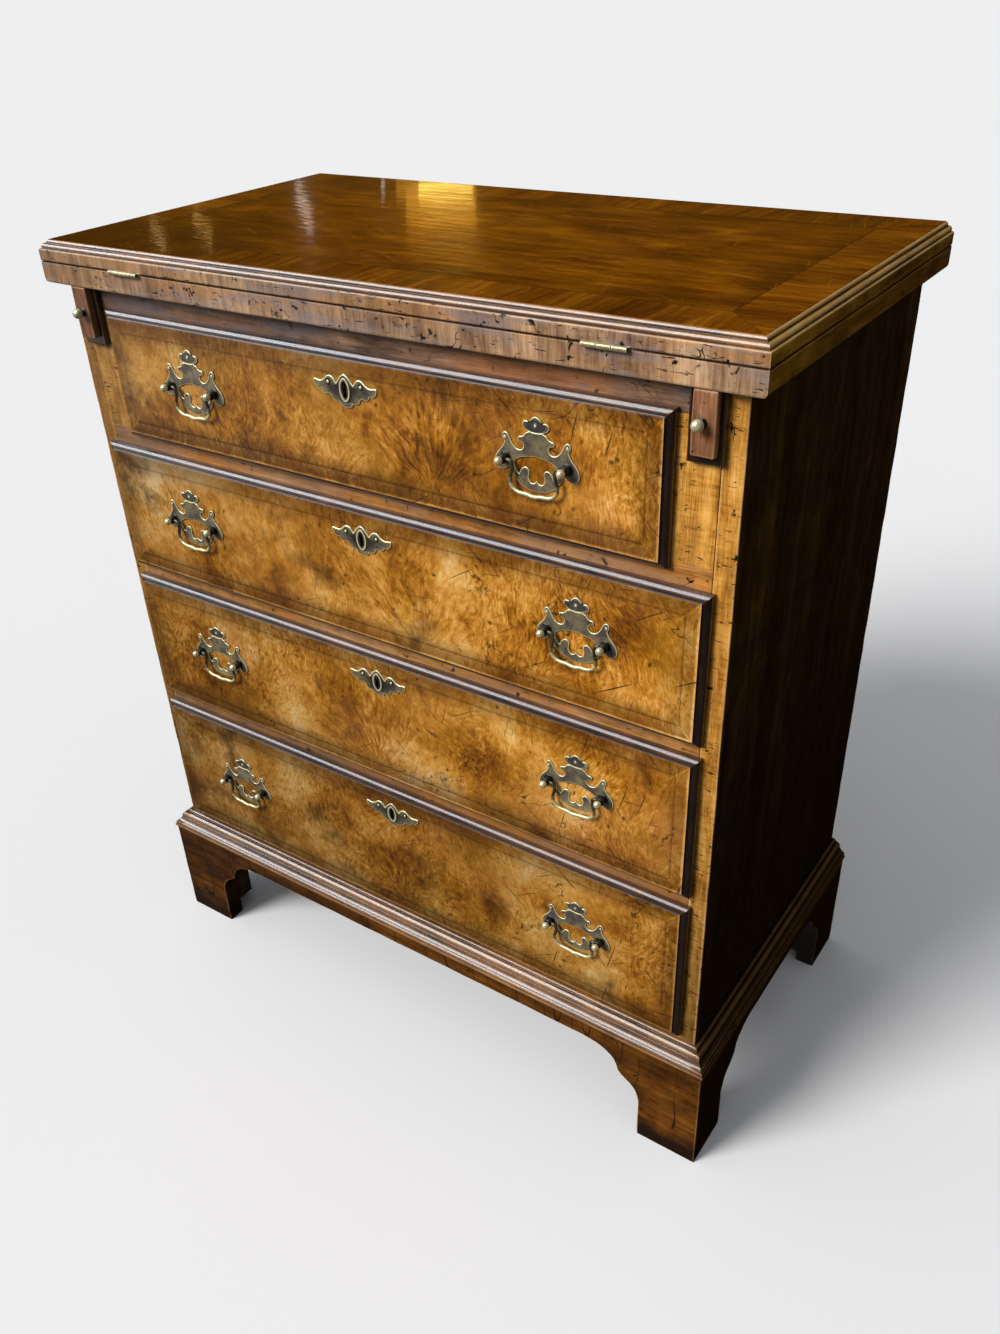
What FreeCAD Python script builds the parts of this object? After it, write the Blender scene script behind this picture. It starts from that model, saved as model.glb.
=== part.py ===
import FreeCAD, Part
import Sketcher
import math
import os

# Bachelor's chest: walnut, fold-over top on two pull-out lopers, four
# graduated lipped drawers, plinth moulding on ogee-cut bracket feet.
# Frame: +X to the right, +Y to the back, +Z up. The origin is on the floor
# under the middle of the whole chest, handles included. Millimetres.

doc = FreeCAD.newDocument("bachelors_chest")
sheet = doc.addObject("Spreadsheet::Sheet", "dims")

CELLS = [
    # carcass; depths are counted back from the front plane of the case
    ("front_y", -163.5), ("case_half", 326), ("case_depth", 341),
    ("case_low", 121), ("case_top", 744.5), ("side_thick", 17),
    ("back_thick", 11), ("back_rebate", 8), ("rail_thick", 20),
    ("rail_deep", 60), ("runner_wide", 40), ("bottom_thick", 20),
    # drawer openings
    ("four_low", 156), ("four_high", 303.5), ("three_low", 323.5),
    ("three_high", 456), ("two_low", 476), ("two_high", 596),
    ("one_low", 616), ("one_high", 722.5), ("one_half", 274),
    # lopers
    ("partition_thick", 16), ("loper_floor", 696.4), ("loper_low", 697),
    ("loper_top", 744.1), ("loper_gap", 0.6), ("loper_long", 325),
    ("loper_lip", 5), ("loper_lip_in", 286.4), ("loper_lip_out", 312.6),
    ("loper_lip_low", 693), ("loper_face_in", 291.4),
    ("loper_face_out", 309), ("loper_face_low", 700), ("loper_face_y", 12),
    ("knob_x", 299), ("knob_z", 722.9), ("knob_ball", 4.35),
    # the two leaves of the top
    ("leaf_half", 341), ("leaf_front", 13), ("leaf_back", 351),
    ("joint_z", 762.5), ("leaf_gap", 0.2), ("leaf_top", 780),
    ("end_round", 4),
    # hinges of the top
    ("hinge_x", 230), ("hinge_half", 17), ("hinge_out", 2.6),
    ("knuckle_rad", 2.1), ("hinge_pin_rad", 0.9), ("hinge_plate", 1.2),
    ("hinge_deep", 21), ("knuckle_half", 5.4),
    # plinth
    ("plinth_out", 17), ("plinth_top", 144), ("fascia_out", 15.6),
    ("fascia_thick", 20), ("foot_wide", 62), ("side_foot_wide", 54.6),
    ("apron_z", 105),
    # drawers
    ("lip_over", 4.2), ("lip_side", 3.6), ("lip_back", 0.4),
    ("lip_edge", 2.6), ("thumb_rad", 5), ("thumb_fillet", 0.7),
    ("lip_out", 10), ("front_back", 12), ("side_play", 0.8),
    ("low_play", 0.4), ("top_play", 1.4), ("lining", 10),
    ("drawer_back_y", 322), ("bottom_up", 6), ("drawer_floor", 8),
    # handles
    ("pull_x", 207), ("pull_x_one", 174), ("bore_half", 26),
    ("bore_drop", 2.4),
    ("plate_thick", 1.3), ("pivot_out", 15.4), ("post_head", 3.7),
    ("post_ball", 3.3), ("post_ball_out", 20.7), ("bail_rad", 1.6),
    ("bail_pin_rad", 1.35), ("bail_hole_rad", 1.6), ("bail_drop", 24.2),
    ("one_pull_z", 674.7), ("two_pull_z", 542.5), ("three_pull_z", 398.1),
    ("four_pull_z", 236.4),
    # escutcheons and locks
    ("one_key_z", 697.5), ("two_key_z", 571.5), ("three_key_z", 431.8),
    ("four_key_z", 280.5),
]
for row, (alias, value) in enumerate(CELLS, start=1):
    sheet.set("A%d" % row, alias)
    sheet.set("B%d" % row, str(value))
    sheet.setAlias("B%d" % row, alias)
doc.recompute()


class Dim:
    """A length known both as a number and as the sheet expression for it."""

    def __init__(self, text, value):
        self.text = text
        self.value = float(value)

    @staticmethod
    def of(item):
        if isinstance(item, Dim):
            return item
        return Dim("(%s)" % repr(float(item)), item)

    def __add__(self, other):
        other = Dim.of(other)
        return Dim("(%s + %s)" % (self.text, other.text),
                   self.value + other.value)

    def __radd__(self, other):
        return Dim.of(other) + self

    def __sub__(self, other):
        other = Dim.of(other)
        return Dim("(%s - %s)" % (self.text, other.text),
                   self.value - other.value)

    def __rsub__(self, other):
        return Dim.of(other) - self

    def __mul__(self, factor):
        factor = Dim.of(factor)
        return Dim("(%s * %s)" % (self.text, factor.text),
                   self.value * factor.value)

    def __rmul__(self, factor):
        return self * factor

    def __neg__(self):
        return Dim("(0 - %s)" % self.text, -self.value)


def cell(name):
    return Dim("dims." + name, float(sheet.get(name)))


V = {name: cell(name) for name, _ in CELLS}
FY = V["front_y"]

subparts = []


def keep(label, thing):
    """Name a finished sub-part."""
    thing.Label = label
    subparts.append(thing)
    return thing


def seat(thing, x=0.0, y=0.0, z=0.0):
    """Bind the placement of a piece; y is counted from the case front."""
    x, y, z = Dim.of(x), Dim.of(y) + FY, Dim.of(z)
    thing.Placement = FreeCAD.Placement(
        FreeCAD.Vector(x.value, y.value, z.value), thing.Placement.Rotation)
    thing.setExpression("Placement.Base.x", x.text)
    thing.setExpression("Placement.Base.y", y.text)
    thing.setExpression("Placement.Base.z", z.text)
    return thing


def box(name, x0, x1, y0, y1, z0, z1):
    """A board between six planes."""
    x0, x1, y0, y1, z0, z1 = [Dim.of(i) for i in (x0, x1, y0, y1, z0, z1)]
    item = doc.addObject("Part::Box", name)
    for prop, size in (("Length", x1 - x0), ("Width", y1 - y0),
                       ("Height", z1 - z0)):
        setattr(item, prop, size.value)
        item.setExpression(prop, size.text)
    return seat(item, x0, y0, z0)


def pair(name, x0, x1, y0, y1, z0, z1):
    """The same board on the right and, mirrored, on the left."""
    return [box(name + "_r", x0, x1, y0, y1, z0, z1),
            box(name + "_l", -x1, -x0, y0, y1, z0, z1)]


def group(name, links):
    """Separate solids that share one name."""
    item = doc.addObject("Part::Compound", name)
    item.Links = links
    return item


def rod(name, radius, length, x, y, z, way):
    """A round bar along X, Y or Z."""
    radius, length = Dim.of(radius), Dim.of(length)
    item = doc.addObject("Part::Cylinder", name)
    item.Radius, item.Height = radius.value, length.value
    item.setExpression("Radius", radius.text)
    item.setExpression("Height", length.text)
    if way == "X":
        item.Placement.Rotation = FreeCAD.Rotation(
            FreeCAD.Vector(0, 1, 0), 90)
    elif way == "Y":
        item.Placement.Rotation = FreeCAD.Rotation(
            FreeCAD.Vector(1, 0, 0), -90)
    return seat(item, x, y, z)


def cut(name, base, tools):
    """Take tools away from a base."""
    if len(tools) > 1:
        tool = doc.addObject("Part::MultiFuse", name + "_tools")
        tool.Shapes = tools
    else:
        tool = tools[0]
    item = doc.addObject("Part::Cut", name)
    item.Base, item.Tool = base, tool
    return item


def common(name, first, second):
    item = doc.addObject("Part::Common", name)
    item.Base, item.Tool = first, second
    return item


def fuse(name, shapes):
    item = doc.addObject("Part::MultiFuse", name)
    item.Shapes = shapes
    return item


def outline(body, name, role, points):
    """A closed sketch of straight runs, each corner bound to the sheet."""
    plane = [f for f in body.Origin.OriginFeatures if f.Role == role][0]
    sketch = body.newObject("Sketcher::SketchObject", name)
    sketch.AttachmentSupport = [(plane, "")]
    sketch.MapMode = "FlatFace"
    points = [(Dim.of(a), Dim.of(b)) for a, b in points]
    count = len(points)
    for i in range(count):
        a, b = points[i], points[(i + 1) % count]
        sketch.addGeometry(Part.LineSegment(
            FreeCAD.Vector(a[0].value, a[1].value, 0),
            FreeCAD.Vector(b[0].value, b[1].value, 0)), False)
    rules = []
    for i in range(count):
        rules.append(Sketcher.Constraint(
            "Coincident", i, 2, (i + 1) % count, 1))
        rules.append(Sketcher.Constraint(
            "DistanceX", -1, 1, i, 1, points[i][0].value))
        rules.append(Sketcher.Constraint(
            "DistanceY", -1, 1, i, 1, points[i][1].value))
    sketch.addConstraint(rules)
    for i in range(count):
        if "dims" in points[i][0].text:
            sketch.setExpression("Constraints[%d]" % (3 * i + 1),
                                 points[i][0].text)
        if "dims" in points[i][1].text:
            sketch.setExpression("Constraints[%d]" % (3 * i + 2),
                                 points[i][1].text)
    return sketch


def slab(name, role, points, length, x=0.0, y=0.0, z=0.0, backwards=False):
    """A padded outline in a body of its own."""
    length = Dim.of(length)
    body = doc.addObject("PartDesign::Body", name)
    sketch = outline(body, name + "_outline", role, points)
    pad = body.newObject("PartDesign::Pad", name + "_pad")
    pad.Profile = sketch
    pad.Length = length.value
    pad.setExpression("Length", length.text)
    pad.Reversed = backwards
    body.Tip = pad
    return seat(body, x, y, z)


# ---------------------------------------------------------------- carcass
inner = V["case_half"] - V["side_thick"]
back_y = V["case_depth"] - V["back_thick"]
tall = V["case_top"] - V["case_low"]

for word, sign in (("left", -1.0), ("right", 1.0)):
    keep("side_panel_" + word, slab(
        "side_" + word, "XY_Plane",
        [(sign * V["case_half"], 0.0),
         (sign * inner, 0.0),
         (sign * inner, back_y),
         (sign * (inner + V["back_rebate"]), back_y),
         (sign * (inner + V["back_rebate"]), V["case_depth"]),
         (sign * V["case_half"], V["case_depth"])],
        tall, 0, 0, V["case_low"]))

keep("bottom_board", box(
    "bottom_board", -inner, inner, 0, back_y,
    V["four_low"] - V["bottom_thick"], V["four_low"]))

back_half = inner + V["back_rebate"]
third = back_half * (1.0 / 3.0)
keep("back_boards", group("back_boards", [
    box("back_board_a", -back_half, -third - 0.25, back_y, V["case_depth"],
        V["case_low"], V["case_top"]),
    box("back_board_b", -third + 0.25, third - 0.25, back_y,
        V["case_depth"], V["case_low"], V["case_top"]),
    box("back_board_c", third + 0.25, back_half, back_y, V["case_depth"],
        V["case_low"], V["case_top"])]))

part_out = V["one_half"] + V["partition_thick"]
keep("top_rail", box("top_rail", -part_out, part_out, 0, V["rail_deep"],
                     V["one_high"], V["case_top"]))

keep("drawer_dividers", group("drawer_dividers", [
    box("divider_" + word, -inner, inner, 0, V["rail_deep"], low, high)
    for word, low, high in (
        ("lower", V["four_high"], V["three_low"]),
        ("middle", V["three_high"], V["two_low"]),
        ("upper", V["two_high"], V["one_low"]))]))

runners = []
for word, low, high, reach in (
        ("lower", V["four_high"], V["three_low"], V["runner_wide"]),
        ("middle", V["three_high"], V["two_low"], V["runner_wide"]),
        ("upper", V["two_high"], V["one_low"], V["runner_wide"] + 20.0)):
    runners += pair("runner_" + word, inner - reach, inner, V["rail_deep"],
                    back_y, low, high)
keep("drawer_runners", group("drawer_runners", runners))

partitions = []
for word, sign in (("left", -1.0), ("right", 1.0)):
    start = V["one_half"] if sign > 0 else -part_out
    partitions.append(slab(
        "partition_" + word, "YZ_Plane",
        [(0.0, V["one_low"]), (back_y, V["one_low"]),
         (back_y, V["case_top"]), (V["rail_deep"], V["case_top"]),
         (V["rail_deep"], V["one_high"]), (0.0, V["one_high"])],
        V["partition_thick"], start, 0, 0))
keep("loper_partitions", group("loper_partitions", partitions))

peg_y = 44.0
loper_parts = pair("loper_block", part_out, inner, 0, 30,
                   V["one_low"], V["loper_floor"])
peg_x = (part_out + inner) * 0.5
for word, sign in (("r", 1.0), ("l", -1.0)):
    low, high = (part_out, inner) if sign > 0 else (-inner, -part_out)
    rail = box("loper_runner_" + word, low, high, 30, 325,
               V["loper_floor"] - 22.0, V["loper_floor"])
    hole = rod("peg_hole_" + word, 3.0, 30, sign * peg_x, peg_y,
               V["loper_floor"] - 12.0, "Z")
    loper_parts.append(cut("loper_rail_" + word, rail, [hole]))
    loper_parts.append(rod("stop_peg_" + word, 3.0, 18.5, sign * peg_x,
                           peg_y, V["loper_floor"] - 12.0, "Z"))
keep("loper_runners_and_pegs", group("loper_runners_and_pegs", loper_parts))

keep("top_kickers", group("top_kickers", pair(
    "kicker", V["one_half"] - V["runner_wide"], V["one_half"],
    V["rail_deep"], back_y, V["one_high"], V["case_top"])))


# ------------------------------------------------------- hinges of the top
hinge_y = -(V["leaf_front"] + V["hinge_out"])


def hinge(name, upper):
    """One plate with its knuckles; the upper plate turns."""
    if upper:
        z0 = V["joint_z"] + V["leaf_gap"]
        z1 = z0 + V["hinge_plate"]
        spans = [(-V["knuckle_half"], V["knuckle_half"])]
    else:
        z1 = V["joint_z"] - V["leaf_gap"]
        z0 = z1 - V["hinge_plate"]
        spans = [(-V["hinge_half"], -V["knuckle_half"] - 0.4),
                 (V["knuckle_half"] + 0.4, V["hinge_half"])]
    shapes = [box(name + "_plate", V["hinge_half"] * -1.0, V["hinge_half"],
                  -V["leaf_front"], V["hinge_deep"] - V["leaf_front"],
                  z0, z1)]
    for i, (a, b) in enumerate(spans):
        shapes.append(rod("%s_knuckle%d" % (name, i), V["knuckle_rad"],
                          b - a, a, hinge_y, V["joint_z"], "X"))
        shapes.append(box("%s_strap%d" % (name, i), a, b, hinge_y,
                          0.5 - V["leaf_front"], z0, z1))
    solid = fuse(name + "_solid", shapes)
    tools = [rod(name + "_bore", V["hinge_pin_rad"] + 0.05,
                 V["hinge_half"] * 2.0 + 4.0, V["hinge_half"] * -1.0 - 2.0,
                 hinge_y, V["joint_z"], "X")]
    for i, (sx, sy) in enumerate(((-11.0, 6.0), (11.0, 6.0), (0.0, 14.0))):
        tools.append(rod("%s_screwhole%d" % (name, i), 1.5, 4, sx,
                         sy - V["leaf_front"], z0 - 1.0, "Z"))
    return cut(name, solid, tools)


def moved(name, thing, x):
    """A copy of a finished form, shifted sideways."""
    item = group(name, [thing])
    x = Dim.of(x)
    item.Placement.Base.x = x.value
    item.setExpression("Placement.Base.x", x.text)
    return item


def screw_set(name, upper):
    """Three countersunk screws of one hinge plate."""
    shapes = []
    for i, (sx, sy) in enumerate(((-11.0, 6.0), (11.0, 6.0), (0.0, 14.0))):
        if upper:
            z0 = V["joint_z"] + V["leaf_gap"]
            item = rod("%s%d" % (name, i), 1.45, 10, sx,
                       sy - V["leaf_front"], z0, "Z")
        else:
            z1 = V["joint_z"] - V["leaf_gap"]
            item = rod("%s%d" % (name, i), 1.45, 10, sx,
                       sy - V["leaf_front"], z1 - 10.0, "Z")
        shapes.append(item)
    return group(name + "_set", shapes)


low_hinge, high_hinge = hinge("hinge_low", False), hinge("hinge_high", True)
low_screws = screw_set("low_screw", False)
high_screws = screw_set("high_screw", True)
keep("hinge_fixed_leaves", group("hinge_fixed_leaves", [
    moved("hinge_low_l", low_hinge, -V["hinge_x"]),
    moved("hinge_low_r", low_hinge, V["hinge_x"]),
    moved("screws_low_l", low_screws, -V["hinge_x"]),
    moved("screws_low_r", low_screws, V["hinge_x"])]))
pin_form = rod("hinge_pin_form", V["hinge_pin_rad"],
               V["hinge_half"] * 2.0 + 0.4, V["hinge_half"] * -1.0 - 0.2,
               hinge_y, V["joint_z"], "X")
keep("hinge_pins", group("hinge_pins", [
    moved("hinge_pin_l", pin_form, -V["hinge_x"]),
    moved("hinge_pin_r", pin_form, V["hinge_x"])]))


def mortises(name, upper):
    """Recesses for two hinge plates and their screws."""
    tools = []
    for word, sign in (("l", -1.0), ("r", 1.0)):
        x = sign * V["hinge_x"]
        if upper:
            z0 = V["joint_z"] - 1.0
            z1 = V["joint_z"] + V["leaf_gap"] + V["hinge_plate"]
            s0 = V["joint_z"] + V["leaf_gap"]
        else:
            z0 = V["joint_z"] - V["leaf_gap"] - V["hinge_plate"]
            z1 = V["joint_z"] + 1.0
            s0 = V["joint_z"] - V["leaf_gap"] - 10.0
        tools.append(box("%s_bed_%s" % (name, word), x - V["hinge_half"],
                         x + V["hinge_half"], -V["leaf_front"] - 2.0,
                         V["hinge_deep"] - V["leaf_front"], z0, z1))
        for i, (sx, sy) in enumerate(((-11.0, 6.0), (11.0, 6.0),
                                      (0.0, 14.0))):
            tools.append(rod("%s_pilot_%s%d" % (name, word, i), 1.5, 10.05,
                             x + sx, sy - V["leaf_front"],
                             s0 - (0.0 if upper else 0.05), "Z"))
    return tools


# ------------------------------------------------------------- fixed leaf
leaf_z1 = V["joint_z"] - V["leaf_gap"]
er = V["end_round"]
low_points = [(-V["leaf_half"], leaf_z1)]
low_points += [(-V["leaf_half"] + er * (1.0 - math.cos(math.radians(15 * k))),
                V["case_top"] + er * (1.0 - math.sin(math.radians(15 * k))))
               for k in range(7)]
low_points += [(V["leaf_half"] - er * (1.0 - math.cos(math.radians(15 * k))),
                V["case_top"] + er * (1.0 - math.sin(math.radians(15 * k))))
               for k in range(6, -1, -1)]
low_points += [(V["leaf_half"], leaf_z1)]
fixed = slab("fixed_leaf", "XZ_Plane", low_points,
             V["leaf_back"] + V["leaf_front"], 0, -V["leaf_front"], 0, True)
keep("fixed_top", cut("fixed_top", fixed, mortises("fixed", False)))

# ----------------------------------------------------------- folding leaf
# Edge section: distance in from the outermost face, height below the top.
TOP_EDGE = [(0.0, 8.2), (0.25, 7.6), (0.9, 7.2), (2.0, 7.1), (2.5, 6.8),
            (2.1, 6.3), (2.0, 5.6), (2.25, 4.7), (2.8, 3.9), (3.6, 3.3),
            (4.5, 3.1), (5.7, 3.1), (5.7, 2.4), (5.95, 1.45), (6.5, 0.75),
            (7.3, 0.2), (8.2, 0.0)]
leaf_z0 = V["joint_z"] + V["leaf_gap"]
front_run = [(inset - V["leaf_front"], V["leaf_top"] - drop)
             for inset, drop in TOP_EDGE]
long_way = slab("folding_long", "YZ_Plane",
                [(V["leaf_back"], leaf_z0), (-V["leaf_front"], leaf_z0)]
                + front_run + [(V["leaf_back"], V["leaf_top"])],
                V["leaf_half"] * 2.0, -V["leaf_half"], 0, 0)
right_run = [(V["leaf_half"] - inset, V["leaf_top"] - drop)
             for inset, drop in TOP_EDGE]
left_run = [(inset - V["leaf_half"], V["leaf_top"] - drop)
            for inset, drop in reversed(TOP_EDGE)]
cross_way = slab("folding_cross", "XZ_Plane",
                 [(-V["leaf_half"], leaf_z0), (V["leaf_half"], leaf_z0)]
                 + right_run + left_run,
                 V["leaf_back"] + V["leaf_front"], 0, -V["leaf_front"], 0,
                 True)
keep("folding_top", cut("folding_top",
                        common("folding_blank", long_way, cross_way),
                        mortises("folding", True)))
keep("hinge_moving_leaves", group("hinge_moving_leaves", [
    moved("hinge_high_l", high_hinge, -V["hinge_x"]),
    moved("hinge_high_r", high_hinge, V["hinge_x"]),
    moved("screws_high_l", high_screws, -V["hinge_x"]),
    moved("screws_high_r", high_screws, V["hinge_x"])]))

# ----------------------------------------------------------------- plinth
# Moulding section: distance out from the case, height below its top.
PLINTH_EDGE = [(1.4, 0.0), (2.6, 0.2), (3.6, 0.9), (4.1, 1.9), (4.1, 2.7),
               (5.4, 2.9), (6.9, 3.4), (8.3, 4.4), (9.3, 5.8), (9.7, 7.3),
               (9.5, 8.6), (9.0, 9.4), (10.2, 9.7), (11.0, 11.2),
               (12.2, 12.7), (13.8, 13.6), (13.8, 14.3), (14.9, 14.6),
               (15.7, 15.4), (15.9, 16.4), (15.6, 17.2), (15.0, 17.7),
               (16.2, 18.0), (16.8, 18.8), (17.0, 19.8), (16.8, 20.8),
               (16.2, 21.6), (15.8, 23.0)]
front_run = [(-out, V["plinth_top"] - drop) for out, drop in PLINTH_EDGE]
plinth_long = slab("plinth_long", "YZ_Plane",
                   [(V["case_depth"], V["case_low"])]
                   + front_run[::-1]
                   + [(0.0, V["plinth_top"]),
                      (V["case_depth"], V["plinth_top"])],
                   (V["case_half"] + V["plinth_out"]) * 2.0,
                   -(V["case_half"] + V["plinth_out"]), 0, 0)
right_run = [(V["case_half"] + out, V["plinth_top"] - drop)
             for out, drop in PLINTH_EDGE]
left_run = [(-(V["case_half"] + out), V["plinth_top"] - drop)
            for out, drop in reversed(PLINTH_EDGE)]
plinth_cross = slab("plinth_cross", "XZ_Plane", right_run + left_run,
                    V["case_depth"] + V["plinth_out"], 0,
                    -V["plinth_out"], 0, True)
plinth_block = common("plinth_block", plinth_long, plinth_cross)
far = V["plinth_out"] + V["case_half"]
high = V["plinth_top"] - V["case_low"]
front_wedge = slab("plinth_front_wedge", "XY_Plane",
                   [(-far, -V["plinth_out"]), (far, -V["plinth_out"]),
                    (V["case_half"], 0.0), (-V["case_half"], 0.0)],
                   high, 0, 0, V["case_low"])
strips = [common("plinth_front", plinth_block, front_wedge)]
for word, sign in (("left", -1.0), ("right", 1.0)):
    wedge = slab("plinth_wedge_" + word, "XY_Plane",
                 [(sign * far, -V["plinth_out"]),
                  (sign * V["case_half"], 0.0),
                  (sign * V["case_half"], V["case_depth"]),
                  (sign * far, V["case_depth"])],
                 high, 0, 0, V["case_low"])
    strips.append(common("plinth_" + word, plinth_block, wedge))
keep("plinth_moulding", group("plinth_moulding", strips))

# --------------------------------------------------------- bracket feet
# Scroll section: distance in from the foot's inner edge, height.
SCROLL = [(0.0, 0.0), (0.0, 48.0), (1.2, 54.5), (3.8, 61.0), (7.8, 66.6),
          (13.0, 71.0), (18.6, 74.6), (22.6, 78.2), (24.6, 83.4),
          (26.6, 88.8), (30.2, 93.8), (35.8, 98.0), (42.6, 101.2),
          (50.4, 103.6), (60.0, 104.8), (68.0, 105.0)]
fx = V["case_half"] + V["fascia_out"]
foot_x = fx - V["foot_wide"]
outer = [(fx, V["case_low"]), (fx, 0.0)]
outer += [(foot_x - run, Dim.of(rise)) for run, rise in SCROLL]
outer += [(run - foot_x, Dim.of(rise)) for run, rise in reversed(SCROLL)]
outer += [(-fx, 0.0), (-fx, V["case_low"])]
front_board = slab("bracket_front_board", "XZ_Plane", outer,
                   V["fascia_thick"], 0, -V["fascia_out"], 0, True)
ix = fx - V["fascia_thick"]
iy = V["fascia_thick"] - V["fascia_out"]
mitre = slab("bracket_front_mitre", "XY_Plane",
             [(-fx, -V["fascia_out"]), (fx, -V["fascia_out"]), (ix, iy),
              (-ix, iy)], V["case_low"], 0, 0, 0)
keep("bracket_front", common("bracket_front", front_board, mitre))

foot_y = V["side_foot_wide"] - V["fascia_out"]
rear_y = V["case_depth"] - V["side_foot_wide"]
profile = [(-V["fascia_out"], V["case_low"]), (-V["fascia_out"], 0.0)]
profile += [(foot_y + run, Dim.of(rise)) for run, rise in SCROLL]
profile += [(rear_y - run, Dim.of(rise)) for run, rise in reversed(SCROLL)]
profile += [(V["case_depth"], 0.0), (V["case_depth"], V["case_low"])]
sides = []
for word, sign in (("left", -1.0), ("right", 1.0)):
    start = ix if sign > 0 else -fx
    board = slab("bracket_side_" + word, "YZ_Plane", profile,
                 V["fascia_thick"], start, 0, 0)
    wedge = slab("bracket_mitre_" + word, "XY_Plane",
                 [(sign * fx, -V["fascia_out"]), (sign * ix, iy),
                  (sign * ix, V["case_depth"]),
                  (sign * fx, V["case_depth"])], V["case_low"], 0, 0, 0)
    sides.append(common("bracket_" + word, board, wedge))
keep("bracket_sides", group("bracket_sides", sides))

rear = []
for word, sign in (("left", -1.0), ("right", 1.0)):
    rear.append(slab(
        "back_foot_" + word, "XZ_Plane",
        [(sign * ix, 0.0), (sign * ix, V["case_low"]),
         (sign * (ix - 58.0), V["case_low"]), (sign * (ix - 58.0), 84.0),
         (sign * (ix - 42.0), 0.0)],
        18, 0, V["case_depth"] - 18.0, 0, True))
keep("back_feet", group("back_feet", rear))

blocks = []
blocks += pair("foot_block_front", ix - 30.0, ix, iy, iy + 30.0, 6,
               V["case_low"])
blocks += pair("foot_block_rear", ix - 30.0, ix, V["case_depth"] - 48.0,
               V["case_depth"] - 18.0, 6, V["case_low"])
blocks += [box("apron_strip", -236, 236, iy, iy + 18.0, 109,
               V["four_low"] - V["bottom_thick"])]
blocks += pair("side_strip", ix - 18.0, ix, 110, 216, 108, V["case_low"])
keep("glue_blocks", group("glue_blocks", blocks))

# ----------------------------------------------------------------- lopers
body_in = part_out + V["loper_gap"]
body_out = inner - V["loper_gap"]
for word, sign in (("left", -1.0), ("right", 1.0)):
    def span(a, b):
        return (a, b) if sign > 0 else (-b, -a)
    x0, x1 = span(body_in, body_out)
    bar = box("loper_bar_" + word, x0, x1, -V["lip_back"],
              V["loper_long"], V["loper_low"], V["loper_top"])
    # the notch that meets the stop peg
    n0, n1 = span(peg_x - 4.0, peg_x + 4.0)
    notch = box("loper_notch_" + word, n0, n1, 36, 301,
                V["loper_low"] - 1.0, V["loper_low"] + 9.0)
    bar = cut("loper_stick_" + word, bar, [notch])
    x0, x1 = span(V["loper_lip_in"], V["loper_lip_out"])
    lip = box("loper_lip_" + word, x0, x1, -V["lip_back"] - V["loper_lip"],
              -V["lip_back"], V["loper_lip_low"], V["loper_top"])
    x0, x1 = span(V["loper_face_in"], V["loper_face_out"])
    face = box("loper_face_" + word, x0, x1, -V["loper_face_y"],
               -V["lip_back"] - V["loper_lip"], V["loper_face_low"],
               V["loper_top"])
    whole = fuse("loper_whole_" + word, [bar, lip, face])
    bore = rod("knob_bore_" + word, 2.05, 14, sign * V["knob_x"],
               -V["loper_face_y"] - 0.5, V["knob_z"], "Y")
    keep("loper_" + word, cut("loper_" + word, whole, [bore]))

    # turned knob: screw shank, flange, neck and ball in one revolution
    knob = doc.addObject("PartDesign::Body", "knob_" + word)
    rb = V["knob_ball"]
    ball = []
    for k in range(1, 11):
        turn = math.radians(18.0 * k - 9.0)
        ball.append((rb * math.sin(turn), 6.4 - rb * math.cos(turn)))
    ball = [p for p in ball if p[1].value > 3.0]
    points = [(0.0, -12.0), (1.95, -12.0), (1.95, 0.0), (3.7, 0.0),
              (3.9, 0.6), (3.3, 1.2), (2.1, 1.6), (2.0, 2.5)]
    points += ball + [(0.0, 6.4 + rb)]
    sk = outline(knob, "knob_section_" + word, "XY_Plane", points)
    rev = knob.newObject("PartDesign::Revolution", "knob_turn_" + word)
    rev.Profile = sk
    rev.ReferenceAxis = (sk, ["V_Axis"])
    rev.Angle = 360
    knob.Tip = rev
    knob.Placement.Rotation = FreeCAD.Rotation(FreeCAD.Vector(0, 0, 1), 180)
    seat(knob, sign * V["knob_x"], -V["loper_face_y"], V["knob_z"])
    keep("loper_knob_" + word, knob)

# ------------------------------------------------------- brass furniture
# Half outlines, x out from the middle, height from the plate's own zero;
# the posts and the bail's pivots sit bore_drop below it.
# Each inner list is one smooth run; runs meet at a corner.
PLATE_OUT = [
    [(0, 31.2), (2.6, 30.2), (4.6, 28.0), (5.2, 26.2)],
    [(5.2, 26.2), (7.2, 27.3), (9.6, 27.0), (11.2, 24.8), (10.4, 22.2),
     (7.8, 20.4), (6.2, 19.4)],
    [(6.2, 19.4), (8.4, 18.6), (10.2, 16.6), (12.2, 15.4), (14.4, 15.0),
     (15.3, 13.0), (13.8, 11.2), (11.6, 11.0)],
    [(11.6, 11.0), (10.6, 9.2), (11.2, 6.8), (13.6, 5.2), (16.8, 5.8),
     (19.8, 8.6), (21.6, 11.6), (23.2, 14.6), (25.8, 16.4), (28.2, 15.0),
     (28.4, 12.0), (26.8, 9.4)],
    [(26.8, 9.4), (28.6, 5.6), (31.4, 2.2), (34.2, -1.4), (35.6, -5.4),
     (35.0, -9.4), (32.4, -11.8), (28.8, -12.2), (25.2, -10.6),
     (22.6, -8.6)],
    [(22.6, -8.6), (21.2, -12.4), (18.2, -16.8), (13.8, -20.8),
     (7.4, -23.6), (0, -24.6)],
]
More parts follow.
